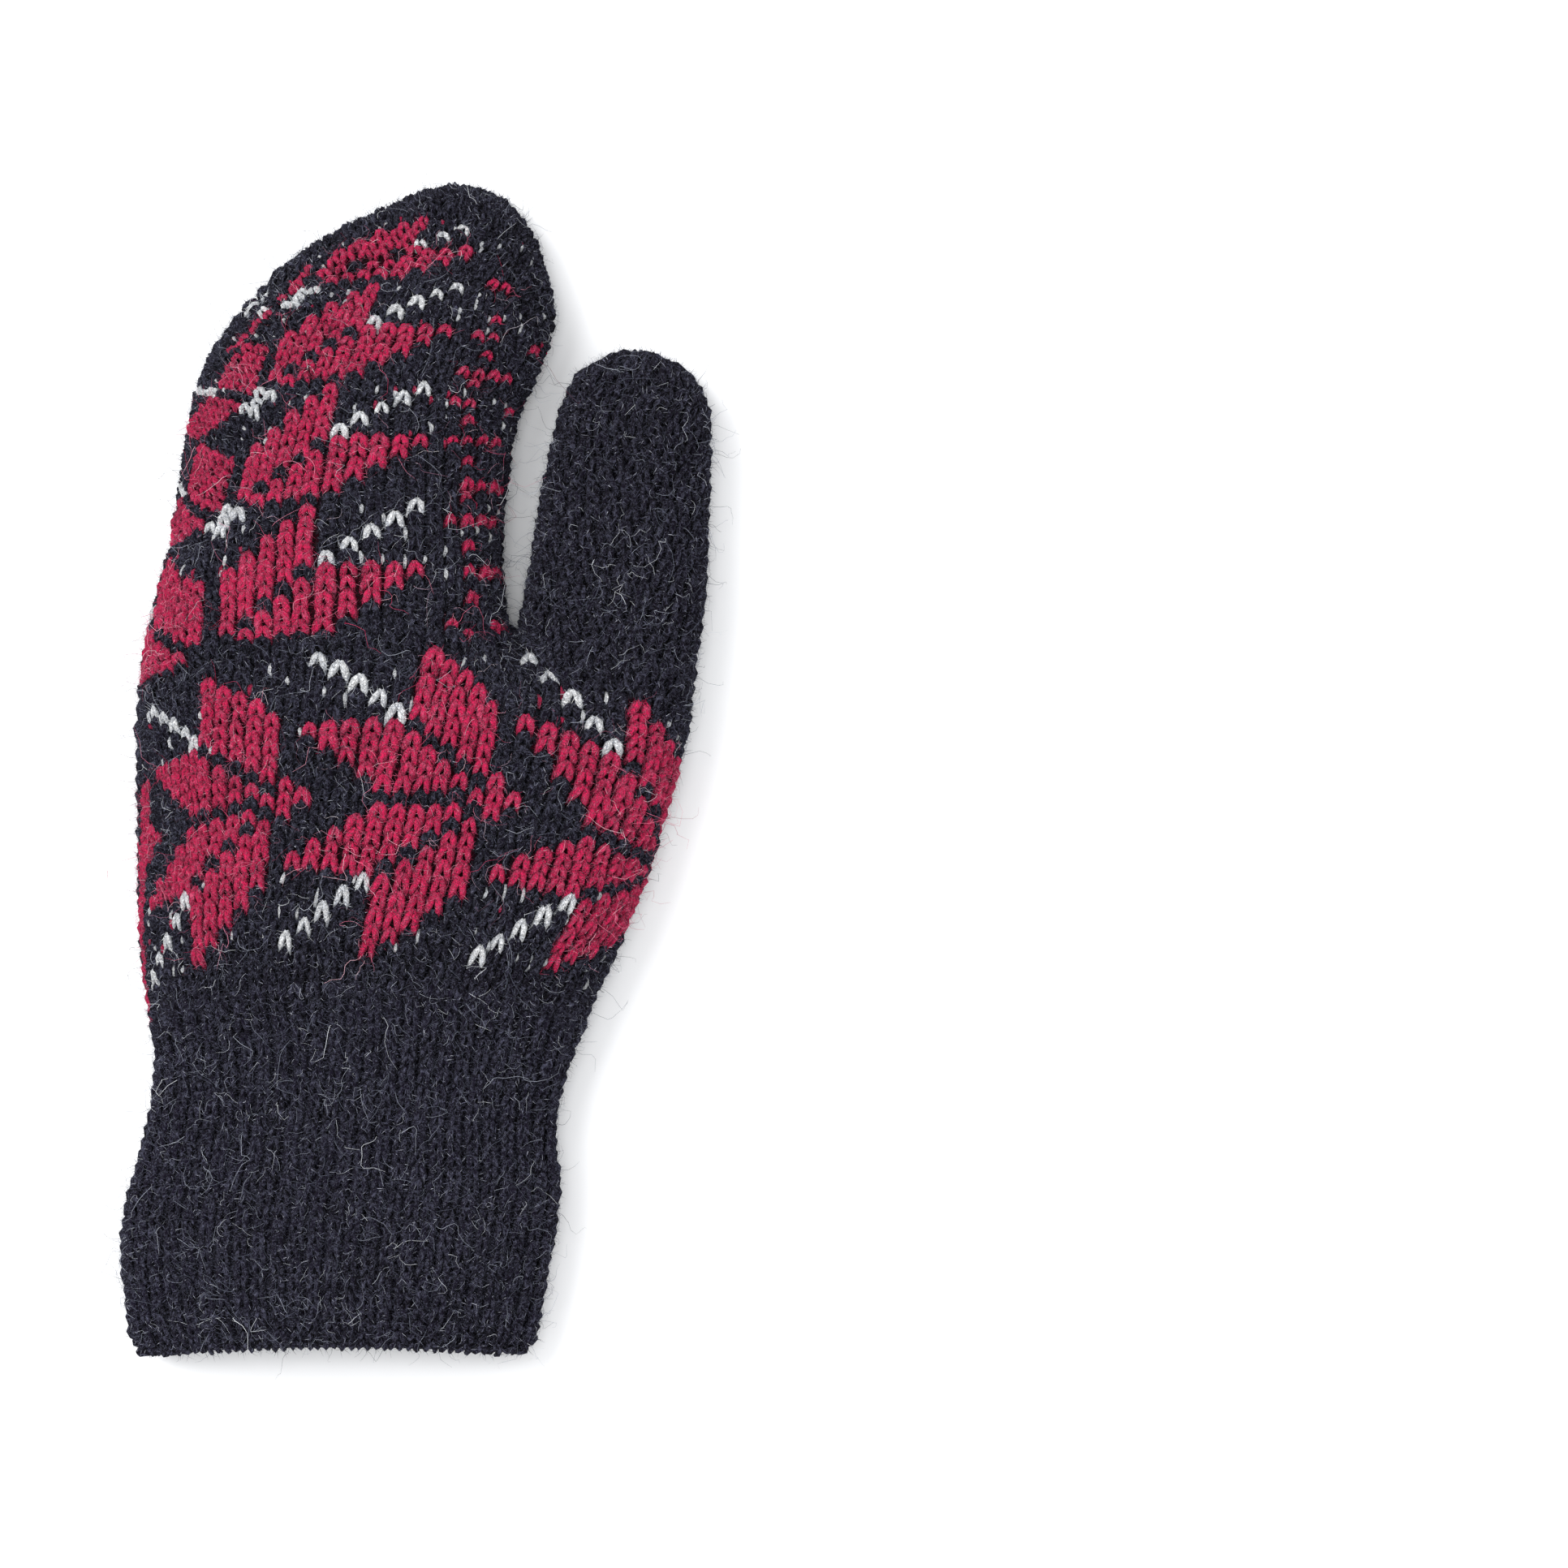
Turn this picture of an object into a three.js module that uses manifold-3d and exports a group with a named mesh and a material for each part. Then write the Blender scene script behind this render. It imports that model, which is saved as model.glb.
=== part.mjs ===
// A knitted mitten lying flat: a ribbed cuff, a patterned hand and a plain thumb, each one hollow wall.
// Millimetres, +Z up. It rests on z = 0 with its fingertips towards +Y and its thumb on the +X side.

import * as THREE from "three";
import Module from "manifold-3d";

const wasm = await Module();
wasm.setup();

// Driving dimensions
const BODY_WALL = 4; // thick wool in two or three strands, with the spare strands carried inside
const THUMB_WALL = 3.4;
const SEAM_GAP = 0.3; // clear space where two knitted pieces meet
const RIB_COUNT = 52;
const RIB_HEIGHT = 1.2;
const DOME_POWER = 2.1; // superellipse power of a section above its waist
const BELLY_POWER = 2.8; // and below it, where the knitting lies pressed on the surface
const THUMB_SEAM = { fromX: 22.3, fromY: 28.3, toX: 63.4, toY: 8.7 }; // from the crotch to the outer edge
const CUT_SIZE = 400; // side of the block that trims the thumb, larger than the mitten

// How finely each tube is faceted: its rings along it, and the points around each ring
const CUFF_FACETS = { rings: 9, sides: RIB_COUNT * 2 };
const HAND_FACETS = { rings: 30, sides: 40 };
const THUMB_FACETS = { rings: 16, sides: 28 };
const BODY_HOLLOW_FACETS = { rings: 30, sides: 30 };
const THUMB_HOLLOW_FACETS = { rings: 12, sides: 22 };

// Each row is one section across a tube, along one course of knitting. Its ends are the left and right edges
// seen from above. crest is the share of its width where it is highest, counted from the left, and bow is how
// far it runs ahead of its ends there. top, waist and bottom are heights: a bottom below 0 lies flattened.
const COLUMNS = ["leftX", "leftY", "rightX", "rightY", "crest", "bow", "top", "waist", "bottom"];

const BODY_SECTIONS = table([
  [-66.6, -134.8, 26.2, -134.4, 0.5, 2.4, 27, 12, -3],
  [-67.4, -127.0, 28.2, -126.5, 0.5, 2.6, 31, 13, -4],
  [-68.6, -116.0, 30.2, -115.5, 0.5, 3.0, 33, 14, -4],
  [-68.8, -106.0, 31.9, -105.5, 0.5, 3.4, 33, 14, -4],
  [-67.0, -96.0, 33.0, -95.5, 0.5, 3.8, 32, 14, -4],
  [-64.0, -86.0, 31.9, -86.0, 0.5, 4.4, 32, 14, -4],
  [-61.8, -76.0, 32.6, -76.0, 0.5, 5.0, 33, 14, -4],
  [-61.2, -66.0, 35.5, -66.0, 0.5, 5.8, 36, 14, -4],
  [-62.4, -56.0, 39.4, -56.0, 0.5, 6.5, 40, 14, -4],
  [-63.6, -47.6, 43.2, -47.6, 0.47, 7.5, 43, 14, -4],
  [-64.4, -37.0, 47.6, -37.5, 0.44, 9.0, 45.5, 15, -4],
  [-64.8, -26.0, 51.2, -29.0, 0.41, 10.5, 47.2, 15, -4],
  [-64.8, -15.0, 54.2, -21.0, 0.39, 12.2, 48.2, 15, -4],
  [-64.9, -5.0, 56.0, -13.5, 0.378, 13.2, 48.5, 15, -4],
  [-65.0, 5.0, 57.4, -5.5, 0.37, 14.0, 48.2, 15, -4],
  [-64.9, 13.0, 57.6, 2.5, 0.366, 14.2, 47.6, 15, -4],
  [-64.8, 15.5, 47.0, 10.5, 0.4, 12.5, 47.1, 15, -4],
  [-64.6, 18.0, 34.0, 18.5, 0.45, 10.0, 46.7, 15, -4],
  [-64.2, 22.0, 24.6, 26.5, 0.495, 7.5, 46.1, 15, -4],
  [-62.8, 31.0, 20.6, 36.0, 0.51, 7.0, 44.4, 15, -4],
  [-60.0, 42.0, 20.3, 47.5, 0.505, 8.0, 42.4, 15, -4],
  [-57.2, 53.0, 21.2, 58.5, 0.5, 9.0, 40.6, 15, -4],
  [-55.3, 65.0, 22.8, 70.0, 0.5, 10.0, 39, 15, -4],
  [-53.6, 78.0, 25.2, 82.0, 0.5, 11.0, 37, 15, -4],
  [-51.0, 90.0, 29.4, 94.0, 0.5, 11.2, 34.5, 14, -3],
  [-44.4, 101.6, 31.8, 102.6, 0.5, 12.0, 31, 14, -2],
  [-34.6, 113.2, 31.2, 110.0, 0.5, 12.5, 27.5, 13, -1],
  [-23.6, 120.8, 29.4, 116.8, 0.5, 10.0, 24, 12, 0],
  [-13.2, 126.2, 27.0, 123.6, 0.5, 7.4, 20, 11, 1.5],
  [-3.2, 131.2, 21.6, 130.0, 0.5, 3.4, 15.5, 10, 4],
  [4.0, 133.8, 14.6, 133.4, 0.5, 0.8, 12, 9.3, 6.3],
]);
const CUFF_TOP = 8; // the row of BODY_SECTIONS where the ribbing ends and the patterned hand begins
const HAND_START = CUFF_TOP + 0.035; // 0.3 mm past the last course of ribbing
const BODY_HOLLOW = { first: -0.8, last: 28.4 }; // from outside the hem to just short of the tip

const THUMB_SECTIONS = table([
  [2.0, -16.0, 49.0, -26.0, 0.5, 0.0, 31, 15, -4],
  [7.5, -1.0, 57.0, -11.0, 0.5, 1.0, 35, 15, -4],
  [13.0, 12.0, 60.8, 2.4, 0.5, 1.5, 37, 15, -4],
  [18.4, 22.6, 62.7, 12.4, 0.5, 1.5, 36, 15, -4],
  [22.4, 30.6, 64.0, 23.0, 0.5, 1.5, 34.5, 15, -4],
  [24.0, 39.3, 65.8, 36.0, 0.5, 1.5, 33, 15, -4],
  [25.4, 48.0, 66.7, 46.5, 0.5, 1.0, 32, 14.5, -4],
  [26.5, 58.0, 67.0, 57.4, 0.5, 1.0, 31, 14, -4],
  [28.0, 67.4, 67.5, 67.4, 0.5, 1.0, 30.5, 14, -4],
  [30.0, 76.0, 67.9, 76.0, 0.5, 1.5, 30, 14, -3],
  [32.2, 84.2, 67.4, 84.2, 0.5, 2.0, 28, 13.5, -2],
  [35.6, 90.0, 64.4, 89.6, 0.5, 2.2, 24.5, 13, 0],
  [39.6, 92.8, 60.6, 92.6, 0.5, 1.6, 21, 12, 3],
  [44.8, 94.9, 55.6, 94.8, 0.5, 0.6, 16.5, 11.5, 6.5],
]);
const THUMB_HOLLOW = { first: 0.4, last: 11.9 }; // from inside the palm to just short of the tip

function table(rows) {
  return rows.map((row) => Object.fromEntries(COLUMNS.map((name, i) => [name, row[i]])));
}

// The section at a place along a table, such as 2.5 for halfway between rows 2 and 3, on a smooth curve.
function sectionAt(sections, place) {
  const last = sections.length - 1;
  const row = THREE.MathUtils.clamp(Math.floor(place), 0, last - 1);
  const t = place - row;
  const value = (i, name) => {
    if (i < 0) return 2 * sections[0][name] - sections[1][name];
    if (i > last) return 2 * sections[last][name] - sections[last - 1][name];
    return sections[i][name];
  };
  const along = (name) => {
    const [a, b, c, d] = [row - 1, row, row + 1, row + 2].map((i) => value(i, name));
    return b + 0.5 * t * (c - a + t * (2 * a - 5 * b + 4 * c - d + t * (3 * (b - c) + d - a)));
  };
  return Object.fromEntries(COLUMNS.map((name) => [name, along(name)]));
}

// The points of one closed ring. inset moves it into the wall, and ripple(i) lifts the point i off it.
function ringPoints(section, sides, inset, ripple) {
  const left = new THREE.Vector2(section.leftX, section.leftY);
  const right = new THREE.Vector2(section.rightX, section.rightY);
  const across = right.clone().sub(left).normalize();
  const ahead = new THREE.Vector2(-across.y, across.x);
  const width = left.distanceTo(right);
  const highest = left.clone().addScaledVector(across, section.crest * width);
  const rise = section.top - inset - section.waist;
  const fall = section.waist - section.bottom - inset;
  return Array.from({ length: sides }, (_, i) => {
    const angle = (i / sides) * 2 * Math.PI;
    const [cos, sin] = [Math.cos(angle), Math.sin(angle)];
    const power = 2 / (sin >= 0 ? DOME_POWER : BELLY_POWER);
    const out = Math.sign(cos) * Math.abs(cos) ** power;
    const lift = Math.abs(sin) ** power;
    const swell = ripple(i);
    const z = sin >= 0 ? section.waist + (rise + swell) * lift : section.waist - (fall + swell) * lift;
    const span = width * (cos < 0 ? section.crest : 1 - section.crest) - inset + swell;
    const plan = highest.clone().addScaledVector(across, out * span);
    plan.addScaledVector(ahead, section.bow * (1 - out * out));
    return new THREE.Vector3(plan.x, plan.y, Math.max(z, inset));
  });
}

// A closed solid tube through a table of sections, from place first to place last, with a fan at each end.
function tube(sections, options) {
  const { first = 0, last = sections.length - 1, rings, sides, inset = 0, ripple = () => 0 } = options;
  const loops = Array.from({ length: rings }, (_, r) => {
    const place = first + ((last - first) * r) / (rings - 1);
    return ringPoints(sectionAt(sections, place), sides, inset, ripple);
  });
  const centre = (loop) => loop.reduce((sum, p) => sum.add(p), new THREE.Vector3()).divideScalar(loop.length);
  const points = [...loops.flat(), centre(loops[0]), centre(loops[rings - 1])];
  const [startPoint, endPoint] = [points.length - 2, points.length - 1];
  const index = [];
  for (let i = 0; i < sides; i++) {
    const next = (i + 1) % sides;
    for (let r = 0; r < rings - 1; r++) {
      const [a, b] = [r * sides + i, r * sides + next];
      const [c, d] = [a + sides, b + sides];
      index.push(a, c, d, a, d, b);
    }
    index.push(startPoint, i, next);
    index.push(endPoint, (rings - 1) * sides + next, (rings - 1) * sides + i);
  }
  return solidOf(points, index);
}

function solidOf(points, index) {
  const vertProperties = new Float32Array(points.flatMap((p) => [p.x, p.y, p.z]));
  const triVerts = new Uint32Array(index);
  return new wasm.Manifold(new wasm.Mesh({ numProp: 3, vertProperties, triVerts }));
}

function geometryOf(solid) {
  const { vertProperties, triVerts } = solid.getMesh();
  const geometry = new THREE.BufferGeometry();
  geometry.setAttribute("position", new THREE.BufferAttribute(vertProperties, 3));
  geometry.setIndex(new THREE.BufferAttribute(triVerts, 1));
  geometry.computeVertexNormals();
  return geometry;
}

// A block with one face along the thumb's seam, half the gap from it: side 1 is beyond the seam, -1 before it.
function blockAtThumbSeam(side) {
  const { fromX, fromY, toX, toY } = THUMB_SEAM;
  const half = CUT_SIZE / 2;
  const corners = [];
  for (const z of [-half, half]) {
    for (const [x, y] of [[-half, 0], [half, 0], [half, CUT_SIZE], [-half, CUT_SIZE]]) {
      corners.push(new THREE.Vector3(x, y + SEAM_GAP / 2, z));
    }
  }
  const turn = Math.atan2(toY - fromY, toX - fromX) + (side < 0 ? Math.PI : 0);
  const toSeam = new THREE.Matrix4().makeRotationZ(turn).setPosition((fromX + toX) / 2, (fromY + toY) / 2, 0);
  corners.forEach((corner) => corner.applyMatrix4(toSeam));
  const floor = [0, 2, 1, 0, 3, 2];
  const roof = [4, 5, 6, 4, 6, 7];
  const walls = [0, 1, 2, 3].flatMap((a) => {
    const b = (a + 1) % 4;
    return [a, b, b + 4, a, b + 4, a + 4];
  });
  return solidOf(corners, [...floor, ...roof, ...walls]);
}

const beyondThumbSeam = blockAtThumbSeam(1);
const beforeThumbSeam = blockAtThumbSeam(-1);

const handSkin = tube(BODY_SECTIONS, { first: HAND_START, ...HAND_FACETS });
const bodyHollow = tube(BODY_SECTIONS, { ...BODY_HOLLOW, ...BODY_HOLLOW_FACETS, inset: BODY_WALL });
const thumbSkin = tube(THUMB_SECTIONS, THUMB_FACETS);
const thumbHollow = tube(THUMB_SECTIONS, { ...THUMB_HOLLOW, ...THUMB_HOLLOW_FACETS, inset: THUMB_WALL });

function ribbedCuff() {
  const ripple = (i) => (i % 2 === 0 ? 0 : -RIB_HEIGHT);
  const skin = tube(BODY_SECTIONS, { last: CUFF_TOP, ...CUFF_FACETS, ripple });
  return skin.subtract(bodyHollow);
}

function patternedHand() {
  const skin = handSkin.add(thumbSkin.intersect(beforeThumbSeam));
  return skin.subtract(bodyHollow).subtract(thumbHollow);
}

function plainThumb() {
  const clearOfHand = tube(BODY_SECTIONS, { first: CUFF_TOP, ...HAND_FACETS, inset: -SEAM_GAP });
  return thumbSkin.intersect(beyondThumbSeam).subtract(thumbHollow).subtract(clearOfHand);
}

function piece(name, solid, color) {
  const material = new THREE.MeshStandardMaterial({ color, roughness: 0.95, metalness: 0 });
  const mesh = new THREE.Mesh(geometryOf(solid), material);
  mesh.name = name;
  return mesh;
}

const mitten = new THREE.Group();
mitten.add(piece("cuff", ribbedCuff(), 0x2b2d33));
mitten.add(piece("hand", patternedHand(), 0x1c1c20));
mitten.add(piece("thumb", plainThumb(), 0x1f2024));

export default mitten;
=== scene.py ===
# The looks of a knitted wool mitten that lies flat, palm down: a charcoal ribbed cuff, a hand knitted in
# black, crimson and white with eight-pointed stars, and a plain black thumb, all brushed to a soft fuzz.
import math
from collections import namedtuple

import bmesh
import bpy
import numpy as np
from mathutils import Matrix, Vector
from mathutils.bvhtree import BVHTree
from mathutils.kdtree import KDTree


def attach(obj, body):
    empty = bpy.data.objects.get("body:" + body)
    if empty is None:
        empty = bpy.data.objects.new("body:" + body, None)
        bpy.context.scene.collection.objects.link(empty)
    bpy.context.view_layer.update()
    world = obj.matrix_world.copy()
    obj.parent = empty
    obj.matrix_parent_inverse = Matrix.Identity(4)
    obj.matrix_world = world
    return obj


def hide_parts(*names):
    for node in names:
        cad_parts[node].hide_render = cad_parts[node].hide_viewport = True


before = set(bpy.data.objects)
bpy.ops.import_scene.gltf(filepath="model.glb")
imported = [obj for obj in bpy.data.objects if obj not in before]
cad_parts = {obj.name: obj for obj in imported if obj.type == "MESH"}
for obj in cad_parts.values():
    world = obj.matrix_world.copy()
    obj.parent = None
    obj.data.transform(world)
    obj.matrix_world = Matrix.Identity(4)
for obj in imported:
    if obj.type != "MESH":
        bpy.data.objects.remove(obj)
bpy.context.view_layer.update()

MM = 0.001

# Yarn and walls, in millimetres
YARN_RADIUS = 1.0
COURSE_HEIGHT = 3.1
GAUGES = {"cuff": 5.2, "hand": 4.6, "thumb": 4.8}  # the stitch width at which a stitch keeps its plain shape
WALL_INSET = 2.0  # how far the felted wall lies under the outer surface of the mitten
YARN_LIFT = 0.7  # how far the height 0 of a stitch's shape stands off the wall
BODY_WALL = 4.0  # from the outer surface in to the hollow
THUMB_WALL = 3.4
SKIN_GRID = 2.1  # between the points of the skin under the stitches
CAST_FROM = 200  # the height over and under the floor from which courses are cast on a surface

# The mitten's shape: each row is one section across a tube. Its ends are the left and right edges seen from
# above, crest is the share of its width where it is highest, and bow is how far it runs ahead there.
# columns: left x, left y, right x, right y, crest, bow, top, waist, bottom
BODY_SECTIONS = np.array([
    (-66.6, -134.8, 26.2, -134.4, 0.5, 2.4, 27, 12, -3),
    (-67.4, -127.0, 28.2, -126.5, 0.5, 2.6, 31, 13, -4),
    (-68.6, -116.0, 30.2, -115.5, 0.5, 3.0, 33, 14, -4),
    (-68.8, -106.0, 31.9, -105.5, 0.5, 3.4, 33, 14, -4),
    (-67.0, -96.0, 33.0, -95.5, 0.5, 3.8, 32, 14, -4),
    (-64.0, -86.0, 31.9, -86.0, 0.5, 4.4, 32, 14, -4),
    (-61.8, -76.0, 32.6, -76.0, 0.5, 5.0, 33, 14, -4),
    (-61.2, -66.0, 35.5, -66.0, 0.5, 5.8, 36, 14, -4),
    (-62.4, -56.0, 39.4, -56.0, 0.5, 6.5, 40, 14, -4),
    (-63.6, -47.6, 43.2, -47.6, 0.47, 7.5, 43, 14, -4),
    (-64.4, -37.0, 47.6, -37.5, 0.44, 9.0, 45.5, 15, -4),
    (-64.8, -26.0, 51.2, -29.0, 0.41, 10.5, 47.2, 15, -4),
    (-64.8, -15.0, 54.2, -21.0, 0.39, 12.2, 48.2, 15, -4),
    (-64.9, -5.0, 56.0, -13.5, 0.378, 13.2, 48.5, 15, -4),
    (-65.0, 5.0, 57.4, -5.5, 0.37, 14.0, 48.2, 15, -4),
    (-64.9, 13.0, 57.6, 2.5, 0.366, 14.2, 47.6, 15, -4),
    (-64.8, 15.5, 47.0, 10.5, 0.4, 12.5, 47.1, 15, -4),
    (-64.6, 18.0, 34.0, 18.5, 0.45, 10.0, 46.7, 15, -4),
    (-64.2, 22.0, 24.6, 26.5, 0.495, 7.5, 46.1, 15, -4),
    (-62.8, 31.0, 20.6, 36.0, 0.51, 7.0, 44.4, 15, -4),
    (-60.0, 42.0, 19.8, 47.5, 0.505, 8.0, 42.4, 15, -4),
    (-57.2, 53.0, 19.8, 58.5, 0.5, 9.0, 40.6, 15, -4),
    (-55.3, 65.0, 21.2, 70.0, 0.5, 10.0, 39, 15, -4),
    (-53.6, 78.0, 23.4, 82.0, 0.5, 11.0, 37, 15, -4),
    (-51.0, 90.0, 28.6, 94.0, 0.5, 11.2, 34.5, 14, -3),
    (-44.4, 101.6, 31.8, 102.6, 0.5, 12.0, 31, 14, -2),
    (-34.6, 113.2, 31.2, 110.0, 0.5, 12.5, 27.5, 13, -1),
    (-23.6, 120.8, 29.4, 116.8, 0.5, 10.0, 24, 12, 0),
    (-13.2, 126.2, 27.0, 123.6, 0.5, 7.4, 20, 11, 1.5),
    (-3.2, 131.2, 21.6, 130.0, 0.5, 3.4, 15.5, 10, 4),
    (4.0, 133.8, 14.6, 133.4, 0.5, 0.8, 12, 9.3, 6.3),
])
THUMB_SECTIONS = np.array([
    (2.0, -16.0, 49.0, -26.0, 0.5, 0.0, 31, 15, -4),
    (7.5, -1.0, 57.0, -11.0, 0.5, 1.0, 35, 15, -4),
    (13.0, 12.0, 60.8, 2.4, 0.5, 1.5, 37, 15, -4),
    (18.4, 22.6, 62.7, 12.4, 0.5, 1.5, 36, 15, -4),
    (22.4, 30.6, 64.0, 23.0, 0.5, 1.5, 34.5, 15, -4),
    (24.3, 39.3, 65.8, 36.0, 0.5, 1.5, 33, 15, -4),
    (25.9, 48.0, 66.7, 46.5, 0.5, 1.0, 32, 14.5, -4),
    (27.3, 58.0, 67.0, 57.4, 0.5, 1.0, 31, 14, -4),
    (29.0, 67.4, 67.5, 67.4, 0.5, 1.0, 30.5, 14, -4),
    (30.9, 76.0, 67.7, 76.0, 0.5, 1.5, 30, 14, -3),
    (32.8, 84.2, 67.0, 84.2, 0.5, 2.0, 28, 13.5, -2),
    (35.6, 90.0, 64.4, 89.6, 0.5, 2.2, 24.5, 13, 0),
    (39.6, 92.8, 60.6, 92.6, 0.5, 1.6, 21, 12, 3),
    (44.8, 94.9, 55.6, 94.8, 0.5, 0.6, 16.5, 11.5, 6.5),
])
DOME_POWER = 2.1  # how square a section is over its waist, where 2 is an ellipse
BELLY_POWER = 2.8  # and under its waist
THUMB_SEAM = (22.3, 28.3, 63.4, 8.7)  # from the crotch to the outer edge, as x, y, x, y

# The courses of knitting over the back of the hand, each through the middles of six or five of its stitches.
# Wales are counted from the middle of the star nearest the thumb.
# columns: course, then x, y of wales -21, -16, -10, -5, 1 and 6
BAND_WALES = (-21, -16, -10, -5, 1, 6)
BAND_COURSES = np.array([
    (-13, -57.5, -57.0, -47.5, -53.0, -29.5, -49.5, -12.0, -50.0, 11.0, -51.5, 27.0, -53.0),
    (-10, -59.0, -47.0, -48.5, -42.5, -28.5, -38.5, -10.0, -40.0, 14.5, -42.0, 31.0, -43.5),
    (-5, -59.0, -30.5, -48.5, -25.5, -26.5, -20.5, -6.0, -22.0, 19.5, -23.5, 39.5, -28.0),
    (0, -57.5, -15.5, -46.5, -11.0, -24.5, -6.0, -2.5, -6.5, 22.5, -7.0, 43.5, -15.5),
    (5, -57.0, -1.0, -46.5, 4.0, -23.0, 9.0, 1.0, 9.5, 25.5, 10.0, 49.0, 0.5),
    (10, -58.5, 13.0, -45.5, 18.5, -21.0, 24.5, 4.5, 25.0, 26.5, 24.5, 51.0, 14.0),
    (12, -60.5, 19.0, -45.5, 24.5, -21.0, 30.5, 5.0, 31.0, 26.5, 30.5, 51.5, 20.0),
])
# columns: course, then x, y of wales -22, -16, -11, -6 and -1
UPPER_WALES = (-22, -16, -11, -6, -1)
UPPER_COURSES = np.array([
    (11, -63.0, 15.5, -45.5, 23.5, -25.0, 27.0, 1.0, 28.5, 17.5, 27.5),
    (12, -62.0, 19.0, -45.2, 26.5, -25.0, 29.8, 0.7, 31.2, 17.2, 30.2),
    (17, -61.2, 32.0, -45.0, 39.5, -24.5, 44.5, 0.3, 45.5, 17.0, 45.5),
    (22, -57.3, 46.5, -43.2, 54.0, -23.8, 58.8, 0.3, 60.0, 16.5, 60.0),
    (28, -53.0, 61.0, -39.3, 68.5, -21.5, 73.6, 1.2, 75.2, 17.5, 75.5),
    (33, -50.0, 72.5, -36.0, 81.5, -18.5, 86.5, 2.0, 87.0, 18.8, 86.0),
    (39, -46.0, 84.5, -32.0, 95.0, -14.2, 99.3, 6.8, 100.2, 24.0, 98.5),
    (44, -41.5, 94.0, -27.0, 106.0, -9.2, 110.0, 9.5, 110.2, 25.0, 107.0),
    (50, -35.0, 103.0, -22.0, 114.5, -4.0, 118.3, 15.5, 118.5, 27.5, 113.5),
    (55, -27.0, 112.5, -14.5, 122.5, 1.8, 125.6, 18.5, 124.6, 26.5, 119.5),
    (59, -17.0, 120.5, -7.0, 127.3, 5.5, 129.4, 17.0, 128.3, 23.5, 124.8),
    (62, -7.5, 127.0, -1.0, 130.6, 7.5, 131.8, 15.5, 130.9, 20.0, 128.6),
    (64, 1.0, 131.4, 3.5, 132.8, 9.0, 133.3, 13.5, 132.9, 16.5, 131.8),
])
LEFT_DROP = 0.9  # how steeply a course falls away towards the wrist past its first mark
RIGHT_DROP = 0.55  # and past its last one
PAST_MARKS = 30  # how far a course is drawn past those marks
PLAN_STEP = 0.25  # between its points there
MARKED_POINTS = 200  # from its first mark to its last
# columns: course, then left x, left y, right x, right y, crest and bow
THUMB_COURSES = np.array([
    (0, 22.6, 29.4, 62.6, 10.3, 0.5, 1.5),
    (6, 24.6, 43.5, 65.6, 31.5, 0.5, 1.5),
    (12, 26.6, 59.5, 67.0, 54.5, 0.5, 1.5),
    (18, 29.2, 73.5, 67.8, 73.0, 0.5, 2.0),
    (22, 32.0, 84.0, 67.4, 84.0, 0.5, 2.5),
    (25, 36.6, 91.0, 63.4, 90.8, 0.5, 2.2),
    (27, 43.0, 94.2, 57.4, 94.1, 0.5, 1.0),
])
THUMB_WALES = (5, 25)  # the fewest and the most
THUMB_STITCH_WIDTH = 3.7
THUMB_POINTS = 161  # across a course of the thumb
THUMB_REACH = 1.03  # how far out they run, in half widths, so that the course reaches round both edges
# The outline, seen from above, of the block that cuts the thumb's wall from the hand's
THUMB_CUT = ((22.3, 28.3), (22.8, 47), (23.8, 58), (25.6, 70), (28.3, 82), (33, 97), (80, 110), (90, -4))

# The cuff and the tip, with places counted along BODY_SECTIONS
CUFF_RIBS = 52
CUFF_COURSE = 2.9
SECTION_SPACING = 10  # millimetres between two sections of the cuff
LINING_DEPTH = 2.6  # where the stitches inside the cuff begin
HEM_EDGE = 0.12  # where the courses next to the hem's fold run, inside and outside
HEM_FOLD = -0.05
CUFF_TOP = 7.98
CUFF_END = -53.0  # the y at which the cuff's wall and fibres end
TIP_SECTIONS = (22.6, 29.9)  # where black stitches fill the edges of the tip
TIP_COURSES = 17
TIP_STITCH_ROOM = 2.3  # how far they stay from other stitches
TIP_STITCH_WIDTH = 3.4
RING_SIDES = 240  # points round a course of the cuff or the tip

# Stitches
CLOSEST_STITCHES = 1.7  # nearer than this, a stitch is left out, as where a course is narrowed
LEAST_HEIGHT = 0.45  # of a stitch, as a share of the height of a course
MOST_HEIGHT = 1.6
SAME_WAY = 0.8  # the cosine above which a wale counts as running straight up to the next course
UNDERSIDE = -0.55  # the upward part of a stitch's normal under which no light reaches it
TIP_WHITE_ROW = ((-43.0, 104.5), (-34.5, 107.5))  # the ends of a short white row, seen from above
TIP_WHITE_REACH = 1.2  # how far from that line a stitch is still part of it
TIP_WHITE_FACING = 0.3  # and the upward part of its normal from which it is
LICE_SIZE = 0.85  # of a crimson stitch in the small pattern, against its neighbours
LICE_DEPTH = 0.3  # how much lower it lies
REPEAT = 11  # the wales, and the courses, after which the pattern repeats
BAND_COURSE = -13  # the first course of the hand
UPPER_COURSE = 12  # the first course over the band
UPPER_MIDDLE = -16  # the wale in the middle of the stars there
TIP_COURSE = 65  # the first of the courses that fill the edges of the tip
THUMB_COURSE_COUNT = 28

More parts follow.
